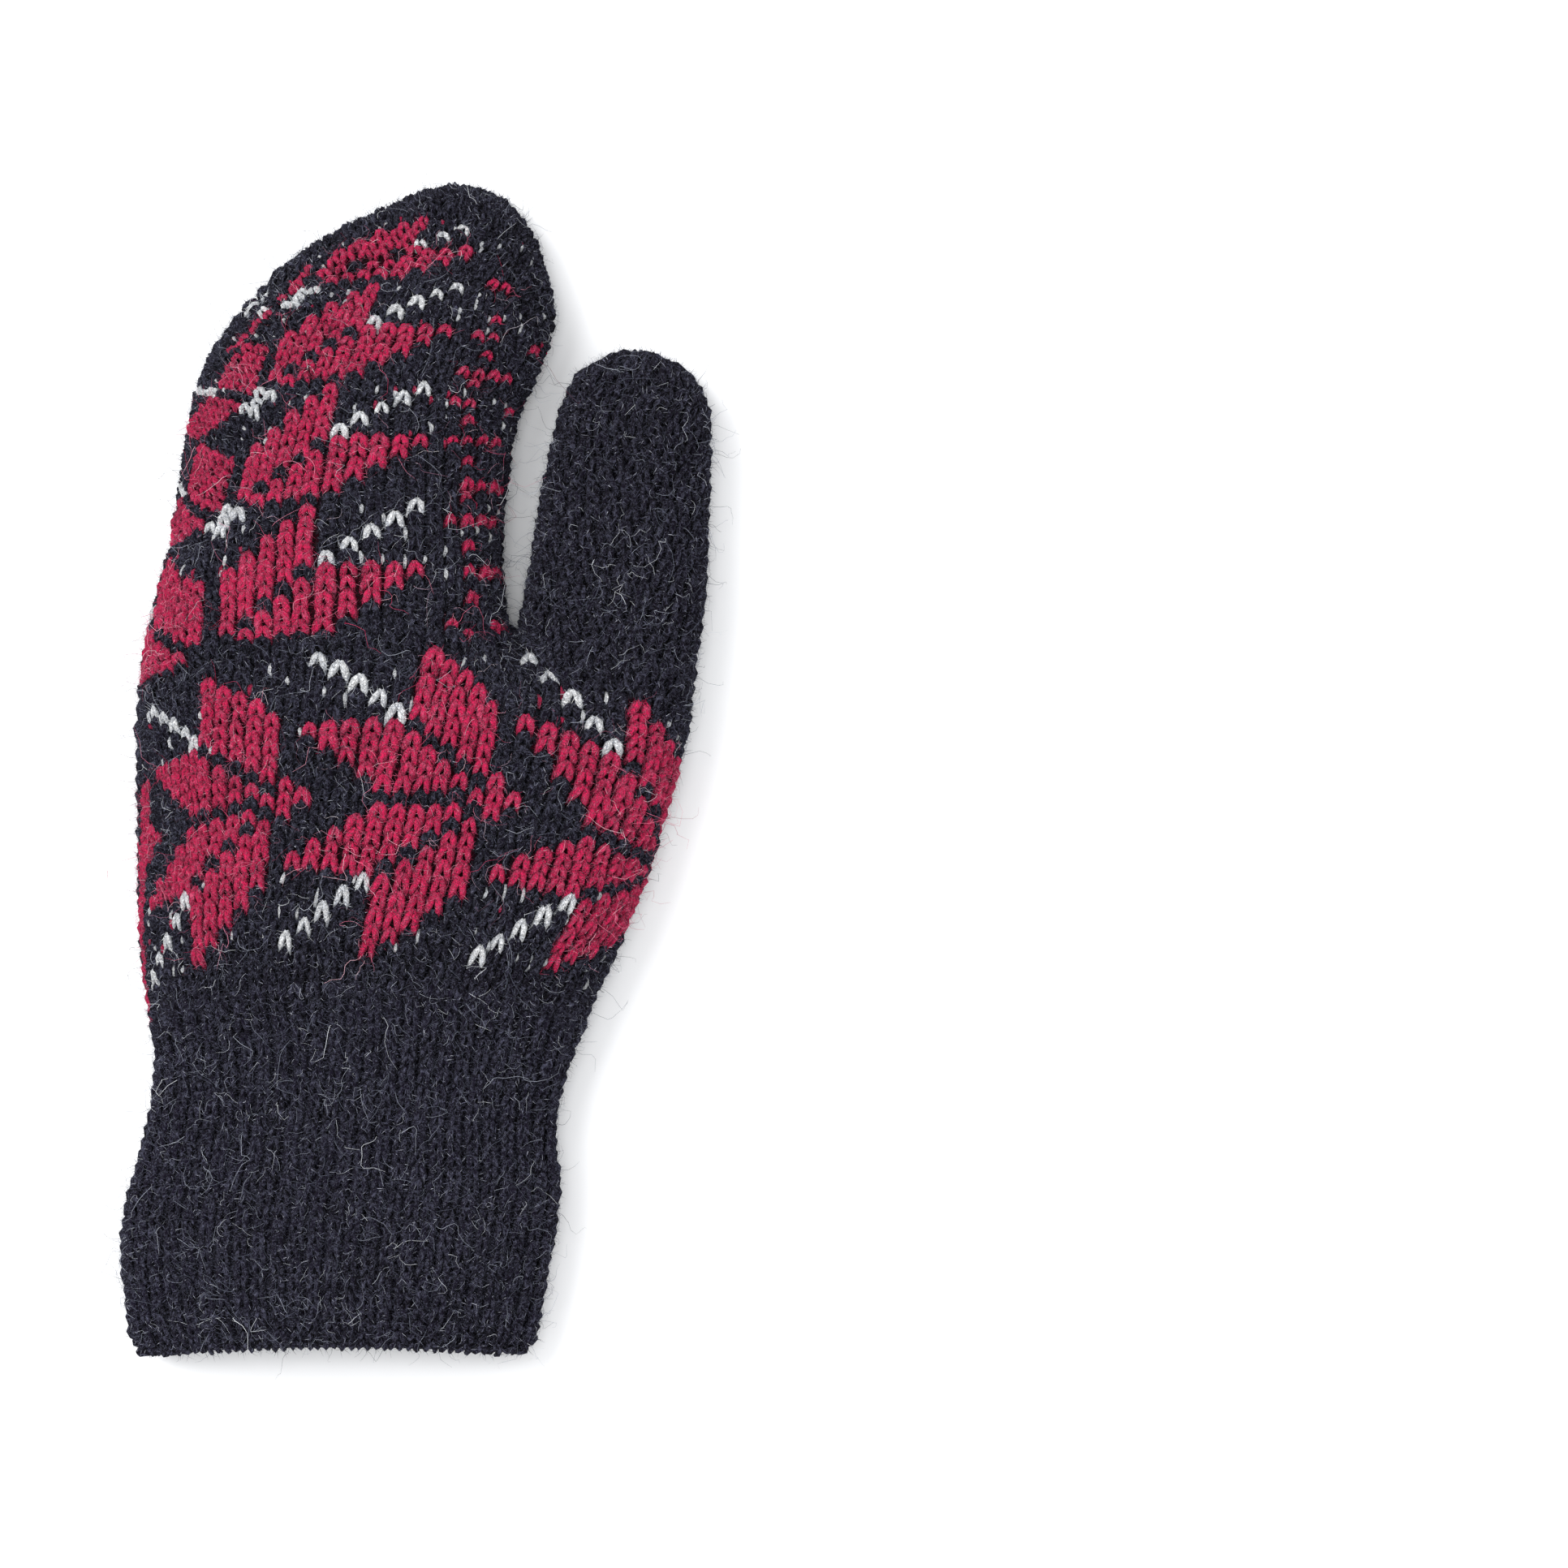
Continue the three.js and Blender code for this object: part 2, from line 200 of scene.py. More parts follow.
# Colours, as sRGB hex: wool in painted shade where it lies deep and in painted light where it is lit, and
# fibres in four tones, paler each time
BLACK_WOOL = ("020105", "14101e")
CHARCOAL_WOOL = ("030206", "1a1626")
CRIMSON_WOOL = ("2a020e", "d8275a")
WHITE_WOOL = ("9aa1af", "fbfcfe")
BLACK_NAP = ("0a0911", "262537", "73748c", "d6d9e6")
CRIMSON_NAP = ("4a0a20", "ae2452", "e86f94", "f6bccb")
BLACK_FIBRES = ("2e2e3a", "616675", "aaafbc", "edf0f4")
CRIMSON_FIBRES = ("861838", "cc456c", "ee95ae", "fad0da")
WHITE_FIBRES = ("aab0bb", "d9dde3", "f4f6f8", "ffffff")
FLOOR = "f2f3f5"


def linear(hex_colour):
    """An sRGB hex colour as linear red, green, blue and alpha."""
    channels = [int(hex_colour[i:i + 2], 16) / 255 for i in (0, 2, 4)]
    return [c / 12.92 if c <= 0.04045 else ((c + 0.055) / 1.055) ** 2.4 for c in channels] + [1.0]


def socket(sockets, key):
    """The socket in use under that name, because nodes keep one of each type under the same name."""
    if isinstance(key, int):
        return sockets[key]
    return next(s for s in sockets if s.name == key and s.enabled)


def add_node(tree, kind, inputs=None, **settings):
    """Adds one node with its settings, and its inputs as links or constant values."""
    node = tree.nodes.new(kind)
    for name, value in settings.items():
        setattr(node, name, value)
    for key, value in (inputs or {}).items():
        if isinstance(value, bpy.types.NodeSocket):
            tree.links.new(value, socket(node.inputs, key))
        else:
            socket(node.inputs, key).default_value = value
    return node


# Shape of the mitten


def section_at(sections, place):
    """The row at a place along a table of sections, on a smooth curve through its rows."""
    last = len(sections) - 1
    row = min(max(int(math.floor(place)), 0), last - 1)
    t = place - row
    ends = [2 * sections[0] - sections[1], *sections, 2 * sections[last] - sections[last - 1]]
    a, b, c, d = ends[row:row + 4]
    return b + 0.5 * t * (c - a + t * (2 * a - 5 * b + 4 * c - d + t * (3 * (b - c) + d - a)))


def plan_line(section, out, inset=0.0):
    """A bowed line across a section seen from above, where out runs from -1 at its left to 1 at its right."""
    left_x, left_y, right_x, right_y, crest, bow = section
    left, right = np.array((left_x, left_y)), np.array((right_x, right_y))
    width = np.linalg.norm(right - left)
    across = (right - left) / width
    ahead = np.array((-across[1], across[0]))
    span = width * np.where(out < 0, crest, 1 - crest) - inset
    middle = left + across * crest * width
    return middle + np.outer(out * span, across) + np.outer(bow * (1 - out * out), ahead)


def ring_points(section, sides, inset):
    """The points of one closed ring round a tube, moved into its wall by inset."""
    top, waist, bottom = section[6:]
    angle = np.linspace(0, 2 * math.pi, sides, endpoint=False)
    cos, sin = np.cos(angle), np.sin(angle)
    power = np.where(sin >= 0, 2 / DOME_POWER, 2 / BELLY_POWER)
    out = np.sign(cos) * np.abs(cos) ** power
    lift = np.abs(sin) ** power
    upper = waist + (top - inset - waist) * lift
    lower = waist - (waist - bottom - inset) * lift
    z = np.where(sin >= 0, upper, lower)
    return np.column_stack((plan_line(section[:6], out, inset), np.maximum(z, inset)))


def new_object(name, mesh):
    made = bpy.data.objects.new(name, mesh)
    bpy.context.scene.collection.objects.link(made)
    return made


def mesh_of(name, points_mm, faces):
    mesh = bpy.data.meshes.new(name)
    mesh.from_pydata([tuple(p) for p in np.asarray(points_mm) * MM], [], faces)
    mesh.update()
    return mesh


def tube(name, sections, first, last, rings, sides, inset):
    """A closed tube through a table of sections, with a fan at each end."""
    loops = [ring_points(section_at(sections, p), sides, inset) for p in np.linspace(first, last, rings)]
    points = np.vstack([*loops, loops[0].mean(0), loops[-1].mean(0)])
    start, end = len(points) - 2, len(points) - 1
    faces = []
    for i in range(sides):
        j = (i + 1) % sides
        faces += [(r * sides + i, (r + 1) * sides + i, (r + 1) * sides + j, r * sides + j)
                  for r in range(rings - 1)]
        faces += [(start, i, j), (end, (rings - 1) * sides + j, (rings - 1) * sides + i)]
    return new_object(name, mesh_of(name, points, faces))


def evaluated_mesh(piece):
    """The mesh that a piece's modifiers make of it, in place of them."""
    depsgraph = bpy.context.evaluated_depsgraph_get()
    mesh = bpy.data.meshes.new_from_object(piece.evaluated_get(depsgraph))
    piece.modifiers.clear()
    piece.data = mesh
    return piece


def joined(name, pieces):
    """One object with the meshes of several, which are removed."""
    both = bmesh.new()
    for piece in pieces:
        both.from_mesh(piece.data)
        bpy.data.objects.remove(piece)
    mesh = bpy.data.meshes.new(name)
    both.to_mesh(mesh)
    both.free()
    return new_object(name, mesh)


def combine(piece, other, operation):
    """Cuts a piece with another closed mesh, which stays."""
    modifier = piece.modifiers.new("combine", "BOOLEAN")
    modifier.operation = operation
    modifier.solver = "EXACT"
    modifier.object = other
    return evaluated_mesh(piece)


def softened_union(name, pieces, steps):
    """One smooth closed skin round several overlapping tubes, rounded where they meet."""
    skin = joined(name, pieces)
    grid = skin.modifiers.new("grid", "REMESH")
    grid.mode = "VOXEL"
    grid.voxel_size = SKIN_GRID * MM
    grid.use_smooth_shade = True
    smooth = skin.modifiers.new("smooth", "SMOOTH")
    smooth.factor = 0.5
    smooth.iterations = steps
    return evaluated_mesh(skin)


def surface_of(piece):
    return BVHTree.FromPolygons([v.co.copy() for v in piece.data.vertices],
                                [tuple(p.vertices) for p in piece.data.polygons])


def cast_on(surface, plan, down):
    """Where the points of a plan meet a surface from above or from below, in millimetres."""
    way = -1 if down else 1
    hits = []
    for x, y in plan * MM:
        place = surface.ray_cast(Vector((x, y, -way * CAST_FROM * MM)), Vector((0, 0, way)))[0]
        if place is not None:
            hits.append(tuple(place))
    return np.array(hits) / MM


# The skin that the stitches lie on, inside the mitten's outer surface
body_tube = tube("body_tube", BODY_SECTIONS, first=0, last=30, rings=90, sides=120, inset=WALL_INSET)
thumb_tube = tube("thumb_tube", THUMB_SECTIONS, first=0, last=13, rings=40, sides=72, inset=WALL_INSET)
body_surface = surface_of(body_tube)
thumb_surface = surface_of(thumb_tube)
skin = softened_union("skin", [body_tube, thumb_tube], steps=3)
skin_surface = surface_of(skin)

# The wall: felted wool between the skin and the hollows for the hand and the thumb
body_hollow = tube("body_hollow", BODY_SECTIONS, first=-0.8, last=28.4, rings=50, sides=60, inset=BODY_WALL)
thumb_hollow = tube("thumb_hollow", THUMB_SECTIONS, first=0.4, last=11.9, rings=24, sides=40,
                    inset=THUMB_WALL)
wall = new_object("wall", skin.data.copy())
combine(wall, body_hollow, "DIFFERENCE")
combine(wall, thumb_hollow, "DIFFERENCE")
for cutter in (body_hollow, thumb_hollow):
    bpy.data.objects.remove(cutter)
wall_surface = surface_of(wall)


# Courses of stitches


def along_line(points):
    """The distance from the first point to each, along the line."""
    return np.concatenate(([0], np.cumsum(np.linalg.norm(np.diff(points, axis=0), axis=1))))


class Course:
    """One closed course: its wale numbers, and where along it each wale's stitch sits and how wide it is."""

    def __init__(self, number, ring, wales, places, widths):
        self.number = number
        self.ring = ring
        self.wales = wales
        self.widths = widths
        along = along_line(ring)
        places = np.mod(places, along[-1])
        self.points = np.column_stack([np.interp(places, along, ring[:, i]) for i in range(3)])


def table_row(table, course):
    """The row of a table at a course, smoothly between the courses that it lists."""
    place = np.interp(course, table[:, 0], np.arange(len(table)))
    return section_at(table, place)[1:]


def curve_through(x, y, at):
    """The heights of a smooth curve through points at other places, level past its ends."""
    slopes = np.gradient(y, x)
    step = np.clip(np.searchsorted(x, at) - 1, 0, len(x) - 2)
    size = x[step + 1] - x[step]
    t = np.clip((at - x[step]) / size, 0, 1)
    return ((2 * t ** 3 - 3 * t ** 2 + 1) * y[step] + (t ** 3 - 2 * t ** 2 + t) * size * slopes[step]
            + (3 * t ** 2 - 2 * t ** 3) * y[step + 1] + (t ** 3 - t ** 2) * size * slopes[step + 1])


def hand_course(surface, table, marked, number):
    """A course of the hand through its marked wales, round past both edges and back under the palm."""
    row = table_row(table, number)
    x, y = row[0::2], row[1::2]
    plan_x = np.concatenate((x[0] - np.arange(PAST_MARKS, 0, -PLAN_STEP),
                             np.linspace(x[0], x[-1], MARKED_POINTS),
                             x[-1] + np.arange(PLAN_STEP, PAST_MARKS, PLAN_STEP)))
    drop = LEFT_DROP * np.maximum(x[0] - plan_x, 0) + RIGHT_DROP * np.maximum(plan_x - x[-1], 0)
    plan = np.column_stack((plan_x, curve_through(x, y, plan_x) - drop))
    top = cast_on(surface, plan, True)
    under = cast_on(surface, plan, False)[::-1]
    ring = np.vstack((top, under, top[:1]))
    along = along_line(ring)
    total, edge = along[-1], along[len(top) - 1]
    marks = np.interp(x, top[:, 0], along[:len(top)])
    first_pitch = (marks[1] - marks[0]) / (marked[1] - marked[0])
    last_pitch = (marks[-1] - marks[-2]) / (marked[-1] - marked[-2])
    left_wale = marked[0] - marks[0] / first_pitch
    right_wale = marked[-1] + (edge - marks[-1]) / last_pitch
    pitch = edge / (right_wale - left_wale)
    count = round(right_wale - left_wale + (total - edge) / pitch)
    wales = np.arange(math.ceil(left_wale), math.ceil(left_wale) + count)
    knots = (left_wale, *marked, right_wale, left_wale + count)
    places = np.interp(wales, knots, (0, *marks, edge, total))
    widths = np.gradient(places)
    widths[0], widths[-1] = widths[1], widths[-2]
    return Course(number, ring, wales, places, widths)


def even_course(number, ring, count):
    """A course with its stitches evenly spaced from the ring's first point on."""
    ring = np.vstack((ring, ring[:1]))
    pitch = along_line(ring)[-1] / count
    return Course(number, ring, np.arange(count), np.arange(count) * pitch, np.full(count, pitch))


def thumb_course(number):
    """A course round the thumb, cast on its surface from above and from below."""
    out = -np.cos(np.linspace(0, math.pi, THUMB_POINTS)) * THUMB_REACH
    plan = plan_line(table_row(THUMB_COURSES, number), out)
    ring = np.vstack((cast_on(thumb_surface, plan, True), cast_on(thumb_surface, plan, False)[::-1]))
    fewest, most = THUMB_WALES
    return even_course(number, ring, min(most, max(fewest, round(along_line(ring)[-1] / THUMB_STITCH_WIDTH))))


def cuff_course(number, place, inset):
    """A course round the cuff, from its left edge on."""
    ring = ring_points(section_at(BODY_SECTIONS, place), RING_SIDES, inset)
    return even_course(number, np.roll(ring, RING_SIDES // 2, axis=0), CUFF_RIBS)


def cuff_places(first, last):
    """Places along BODY_SECTIONS about one course apart."""
    return np.linspace(first, last, round(abs(last - first) * SECTION_SPACING / CUFF_COURSE))


def cuff_courses():
    """The cuff's courses from inside the wrist, round the hem and up to the hand."""
    lining = [(place, BODY_WALL) for place in cuff_places(LINING_DEPTH, HEM_EDGE)]
    hem = [(HEM_FOLD, (BODY_WALL + WALL_INSET) / 2)]
    outside = [(place, WALL_INSET) for place in cuff_places(HEM_EDGE, CUFF_TOP)]
    return [cuff_course(i, place, inset) for i, (place, inset) in enumerate(lining + hem + outside)]


def tip_course(number, place):
    """A course round the tip, with as many stitches as it has room for."""
    ring = ring_points(section_at(BODY_SECTIONS, place), RING_SIDES, WALL_INSET)
    return even_course(number, ring, round(along_line(ring)[-1] / TIP_STITCH_WIDTH))


band_courses = [hand_course(skin_surface, BAND_COURSES, BAND_WALES, c)
                for c in range(BAND_COURSE, UPPER_COURSE)]
upper_courses = [hand_course(body_surface, UPPER_COURSES, UPPER_WALES, c)
                 for c in range(UPPER_COURSE, TIP_COURSE)]
tip_courses = [tip_course(TIP_COURSE + i, place)
               for i, place in enumerate(np.linspace(*TIP_SECTIONS, TIP_COURSES))]
thumb_courses = [thumb_course(c) for c in range(THUMB_COURSE_COUNT)]


def nearest_to(course, place):
    """Where the course passes nearest to a point."""
    gap = np.linalg.norm(course.ring - place, axis=1)
    return course.ring[int(gap.argmin())]


Stitch = namedtuple("Stitch", "place normal ahead width height yarn wale course")


class Stitches:
    """The stitches of one part, in the order in which they are laid."""

    def __init__(self):
        self.rows = []

    def room_left(self, first, place, room):
        """Whether a place is clear of the stitches that were laid before its own course."""
        if not first:
            return True
        laid = np.array([stitch.place for stitch in self.rows[:first]])
        return ((laid - place) ** 2).sum(1).min() > room ** 2

    def lay(self, courses, surface, course_height, keep, chart, room=CLOSEST_STITCHES):
        """Lays every stitch of a run of courses that keep(x, y) lets through and that finds room."""
        for i, course in enumerate(courses):
            first = len(self.rows)
            below = courses[max(i - 1, 0)]
            above = courses[min(i + 1, len(courses) - 1)]
            steps = max(1, (i > 0) + (i < len(courses) - 1))
            for wale, place, width in zip(course.wales, course.points, course.widths):
                if not keep(place[0], place[1]):
                    continue
                nearest, normal, _, _ = surface.find_nearest(Vector(place * MM))
                spot = np.array(nearest) / MM
                if not self.room_left(first, spot, room):
                    continue
                ahead = self.way_up(below, above, wale, place)
                least, most = LEAST_HEIGHT * course_height, MOST_HEIGHT * course_height
                height = min(max(np.linalg.norm(ahead) / steps, least), most)
                self.rows.append(Stitch(spot, np.array(normal), ahead, width, height,
                                        chart(wale, course.number), wale, course.number))

    @staticmethod
    def way_up(below, above, wale, place):
        """From a stitch's neighbour below to the one above, along its wale where the wale goes on."""
        straight = nearest_to(above, place) - nearest_to(below, place)
        start = below.points[below.wales == wale]
        end = above.points[above.wales == wale]
        if len(start) and len(end):
            along_wale = end[0] - start[0]
            size = np.linalg.norm(along_wale) * np.linalg.norm(straight)
            if size > 0 and along_wale @ straight > SAME_WAY * size:
                return along_wale
        return straight


def star(across, up):
    """The yarn of a stitch in one quarter of an eight-pointed star, counted from its centre."""
    if across == up:
        return "white" if 6 <= across <= 10 else "black"
    far, near = max(across, up), min(across, up)
    inner = 2 <= far <= 5 and near >= 1
    outer = 6 <= far <= 10 and far - 5 <= near <= 5
    return "crimson" if inner or outer else "black"


def lice(wale, course):
    """A small all-over pattern of single stitches, with fuller rows beside the stars."""
    row = (course - UPPER_COURSE) % REPEAT
    # It ends under the tip, and sooner at the right edge
    if course > 47 or course > 41 and wale >= -1:
        return "black"
    if -5 <= wale <= 0:
        single = wale == -3 and row in (0, 3, 7)
        hidden = (3 * wale + 5 * course) % 7 in (0, 3)
        return "crimson" if single or row in (1, 5, 9) and not hidden else "black"
    return "crimson" if row % 4 == 1 and (wale + 2 * (row // 4)) % 4 == 0 else "black"


def hand_chart(wale, course):
    """The yarn of a stitch of the hand, from its wale and its course."""
    if course < UPPER_COURSE:
        # Two crimson wales run up beside the band's last star
        if wale < -22:
            return "crimson" if wale > -25 and -12 <= course <= 5 else "black"
        across, up = -wale % REPEAT, abs(course)
        if (across, up) in ((0, 0), (0, 1), (1, 0), (10, 0)):
            return "crimson"
        return star(across, up) if up <= 10 else "black"
    across = abs(wale - UPPER_MIDDLE)
    if across > REPEAT:
        return lice(wale, course)
    repeat, up = divmod(course - UPPER_COURSE, REPEAT)
    plus = (across, up) in ((0, 0), (0, 1), (1, 0)) and 1 <= repeat <= 3
    under_plus = (across, up) == (0, 10) and repeat <= 2
    if plus or under_plus:
        return "white"
    return star(across, up) if repeat <= 3 and up > 0 else "black"


def all_in(yarn):
    """A chart that gives every stitch the same yarn."""
    return lambda wale, course: yarn


def on_tip_row(stitch):
    """Whether a stitch lies on the short white row at the tip's left edge."""
    start, end = np.array(TIP_WHITE_ROW)
    across = end - start
    away = stitch.place[:2] - start
    share = np.clip(away @ across / (across @ across), 0, 1)
    near = np.linalg.norm(away - share * across) < TIP_WHITE_REACH
    return near and stitch.normal[2] > TIP_WHITE_FACING


def pressed(stitch):
    """A crimson stitch of the small pattern smaller and lower, as its black neighbours press it."""
    in_star = stitch.course < UPPER_COURSE or abs(stitch.wale - UPPER_MIDDLE) <= REPEAT
    if stitch.yarn != "crimson" or in_star:
        return stitch
    return stitch._replace(place=stitch.place - stitch.normal * LICE_DEPTH,
                           width=stitch.width * LICE_SIZE, height=stitch.height * LICE_SIZE)


def past_thumb_seam(x, y):
    """Whether a place seen from above is beyond the line from the crotch to the outer edge."""
    x0, y0, x1, y1 = THUMB_SEAM
    return (x1 - x0) * (y - y0) - (y1 - y0) * (x - x0) >= 0


def beside_thumb(x, y):
    """Whether a place seen from above is on the hand's side of the thumb's seam."""
    return x < THUMB_SEAM[0] or not past_thumb_seam(x, y)


def anywhere(x, y):
    return True


def reached_by_light(stitch):
    """Whether a stitch faces far enough up to get light from above the floor."""
    return stitch.normal[2] > UNDERSIDE


hand = Stitches()
hand.lay(band_courses, skin_surface, COURSE_HEIGHT, beside_thumb, hand_chart)
hand.lay(upper_courses, skin_surface, COURSE_HEIGHT, anywhere, hand_chart)
hand.lay(tip_courses, skin_surface, COURSE_HEIGHT, anywhere, all_in("black"), TIP_STITCH_ROOM)
hand.rows = [stitch._replace(yarn="white") if on_tip_row(stitch) else pressed(stitch)
             for stitch in hand.rows]
thumb = Stitches()
thumb.lay(thumb_courses, thumb_surface, COURSE_HEIGHT, past_thumb_seam, all_in("black"))
cuff = Stitches()
cuff.lay(cuff_courses(), wall_surface, CUFF_COURSE, anywhere, all_in("charcoal"))


# Stitches as yarn

TURN_JITTER = 0.08  # in radians
PLACE_JITTER = 0.14
SIZE_JITTER = 0.07
SMALLEST_STITCH = 0.62  # of the plain stitch's width and height
THICKNESS_SHARE = 0.3  # how much of a change in a stitch's size shows in how thick it lies
LOWEST_STITCH = 2.2  # the height of a stitch's middle that keeps its yarn off the floor
UNEVEN_SIZE = 1.6  # the size of the small bends in the yarn
PLUMP_ARC = (0.4, 2.3)  # the part of a sine wave that the yarn's thickness follows, in radians


def turn_of(normal, ahead):
    """The turn that lays a stitch on the surface, its wale pointing ahead, as w, x, y, z."""
    z = Vector(normal).normalized()
    y = Vector(ahead) - Vector(ahead).dot(z) * z
    y.normalize()
    return Matrix((y.cross(z), y, z)).transposed().to_quaternion()


def anchor_points(name, rows, gauge):
    """A mesh of bare points that carries where each stitch sits, its turn, size and shade."""
    rng = np.random.default_rng(len(rows))
    points, turns, sizes = [], [], []
    for stitch in rows:
        turn = turn_of(stitch.normal, stitch.ahead)
        turn.rotate(Matrix.Rotation(rng.normal(0, TURN_JITTER), 3, Vector(stitch.normal)))
        x, y, z = stitch.place + stitch.normal * YARN_LIFT + rng.normal(0, PLACE_JITTER, 3)
        points.append((x * MM, y * MM, max(z, LOWEST_STITCH) * MM))
        wide = max(stitch.width / gauge, SMALLEST_STITCH)
        high = max(stitch.height / COURSE_HEIGHT, SMALLEST_STITCH)
        thick = min(wide, high) * THICKNESS_SHARE + (1 - THICKNESS_SHARE)
        turns.extend(turn)
        sizes.extend(np.array((wide, high, thick)) * (1 + rng.normal(0, SIZE_JITTER)))
    mesh = bpy.data.meshes.new(name)
    mesh.from_pydata([tuple(p) for p in points], [], [])
    mesh.attributes.new("turn", "QUATERNION", "POINT").data.foreach_set("value", turns)
    mesh.attributes.new("size", "FLOAT_VECTOR", "POINT").data.foreach_set("vector", sizes)
    mesh.attributes.new("shade", "FLOAT", "POINT").data.foreach_set("value", rng.random(len(rows)))
    return new_object(name, mesh)


def tree_with(name, inputs):
    """An empty geometry tree with named inputs, and its input and output nodes' sockets."""
    tree = bpy.data.node_groups.new(name, "GeometryNodeTree")
    tree.interface.new_socket("Geometry", in_out="INPUT", socket_type="NodeSocketGeometry")
    tree.interface.new_socket("Geometry", in_out="OUTPUT", socket_type="NodeSocketGeometry")
    for label, kind in inputs.items():
        tree.interface.new_socket(label, in_out="INPUT", socket_type="NodeSocket" + kind)
    return tree, tree.nodes.new("NodeGroupInput").outputs, tree.nodes.new("NodeGroupOutput").inputs


def run_tree(piece, tree, values):
    """Puts a piece through a geometry tree and keeps the mesh that comes out."""
    modifier = piece.modifiers.new(tree.name, "NODES")
    modifier.node_group = tree
    for item in tree.interface.items_tree:
        if item.name in values:
            modifier[item.identifier] = values[item.name]
    return evaluated_mesh(piece)


def yarn_tree():
    """Lays a stitch of two yarn legs on every point: they start apart at its feet and meet at its head."""
    tree, given, result = tree_with("knitted_stitches", {
        "Foot": "Vector",
        "Middle": "Vector",
        "Head": "Vector",
        "Yarn radius": "Float",
        "Sides": "Int",
        "Steps": "Int",
        "Unevenness": "Float",
        "Material": "Material",
    })
    legs = add_node(tree, "GeometryNodeJoinGeometry")
    for side in (1, -1):
        ends = {}
        for label, key in (("Start", "Foot"), ("Middle", "Middle"), ("End", "Head")):
            ends[label] = add_node(tree, "ShaderNodeVectorMath", {0: given[key], 1: (side, 1, 1)},
                                   operation="MULTIPLY").outputs[0]
        leg = add_node(tree, "GeometryNodeCurveQuadraticBezier", {"Resolution": given["Steps"], **ends})
        tree.links.new(leg.outputs["Curve"], legs.inputs[0])
    along = add_node(tree, "GeometryNodeSplineParameter").outputs["Factor"]
    swell = add_node(tree, "ShaderNodeMapRange", {
        "Value": along, "To Min": PLUMP_ARC[0], "To Max": PLUMP_ARC[1]})
    plump = add_node(tree, "ShaderNodeMath", {0: swell.outputs[0]}, operation="SINE")
    radius = add_node(tree, "ShaderNodeMath", {0: plump.outputs[0], 1: given["Yarn radius"]},
                      operation="MULTIPLY")
    ring = add_node(tree, "GeometryNodeCurvePrimitiveCircle", {"Resolution": given["Sides"], "Radius": 1.0})
    measured = add_node(tree, "GeometryNodeStoreNamedAttribute", {
        "Geometry": legs.outputs[0],
        "Name": "along",
        "Value": along,
    }, data_type="FLOAT", domain="POINT")
    place = add_node(tree, "GeometryNodeInputPosition").outputs[0]
    rounded = add_node(tree, "GeometryNodeStoreNamedAttribute", {
        "Geometry": ring.outputs[0],
        "Name": "round",
        "Value": place,
    }, data_type="FLOAT_VECTOR", domain="POINT")
    yarn = add_node(tree, "GeometryNodeCurveToMesh", {
        "Curve": measured.outputs[0],
        "Profile Curve": rounded.outputs[0],
        "Scale": radius.outputs[0],
        "Fill Caps": True,
    })
    height = add_node(tree, "ShaderNodeSeparateXYZ", {0: place}).outputs["Z"]
    stitch = add_node(tree, "GeometryNodeStoreNamedAttribute", {
        "Geometry": yarn.outputs[0],
        "Name": "relief",
        "Value": height,
    }, data_type="FLOAT", domain="POINT")
    turn = add_node(tree, "GeometryNodeInputNamedAttribute", {"Name": "turn"}, data_type="QUATERNION")
    size = add_node(tree, "GeometryNodeInputNamedAttribute", {"Name": "size"}, data_type="FLOAT_VECTOR")
    laid = add_node(tree, "GeometryNodeInstanceOnPoints", {
        "Points": given["Geometry"],
        "Instance": stitch.outputs[0],
        "Rotation": socket(turn.outputs, "Attribute"),
        "Scale": socket(size.outputs, "Attribute"),
    })
    real = add_node(tree, "GeometryNodeRealizeInstances", {"Geometry": laid.outputs[0]})
    shift = noise_shift(tree, UNEVEN_SIZE * MM, given["Unevenness"])
    uneven = add_node(tree, "GeometryNodeSetPosition", {"Geometry": real.outputs[0], "Offset": shift})
    finish_tree(tree, uneven.outputs[0], given["Material"], result)
    return tree


def random_way(tree, normal, stand, seed):
    """The turn of a fibre that points anywhere along the surface, and up from it by stand."""
    scatter = add_node(tree, "FunctionNodeRandomValue", {"Min": (-1, -1, -1), "Max": (1, 1, 1), "Seed": seed},
                       data_type="FLOAT_VECTOR")
    upright = add_node(tree, "ShaderNodeVectorMath", {0: normal, "Scale": stand}, operation="SCALE")
    way = add_node(tree, "ShaderNodeVectorMath",
                   {0: upright.outputs[0], 1: socket(scatter.outputs, "Value")}, operation="ADD")
    turn = add_node(tree, "FunctionNodeAlignRotationToVector", {"Vector": way.outputs[0]}, axis="Z")
    return turn.outputs[0]


def noise_shift(tree, size, amount):
    """A soft random shift at every point, in waves of a size, up to about half the amount each way."""
    waves = add_node(tree, "ShaderNodeMath", {0: 1.0, 1: size}, operation="DIVIDE").outputs[0]
    noise = add_node(tree, "ShaderNodeTexNoise", {"Scale": waves, "Detail": 1.0}, noise_dimensions="3D")
    centred = add_node(tree, "ShaderNodeVectorMath",
                       {0: socket(noise.outputs, "Color"), 1: (0.5, 0.5, 0.5)}, operation="SUBTRACT")
    return add_node(tree, "ShaderNodeVectorMath", {0: centred.outputs[0], "Scale": amount},
                    operation="SCALE").outputs[0]


def finish_tree(tree, geometry, material, result):
    smooth = add_node(tree, "GeometryNodeSetShadeSmooth", {"Geometry": geometry})
    whole = add_node(tree, "GeometryNodeRealizeInstances", {"Geometry": smooth.outputs[0]})
    dressed = add_node(tree, "GeometryNodeSetMaterial", {"Geometry": whole.outputs[0], "Material": material})
    tree.links.new(dressed.outputs[0], result[0])


# Brushed fibres

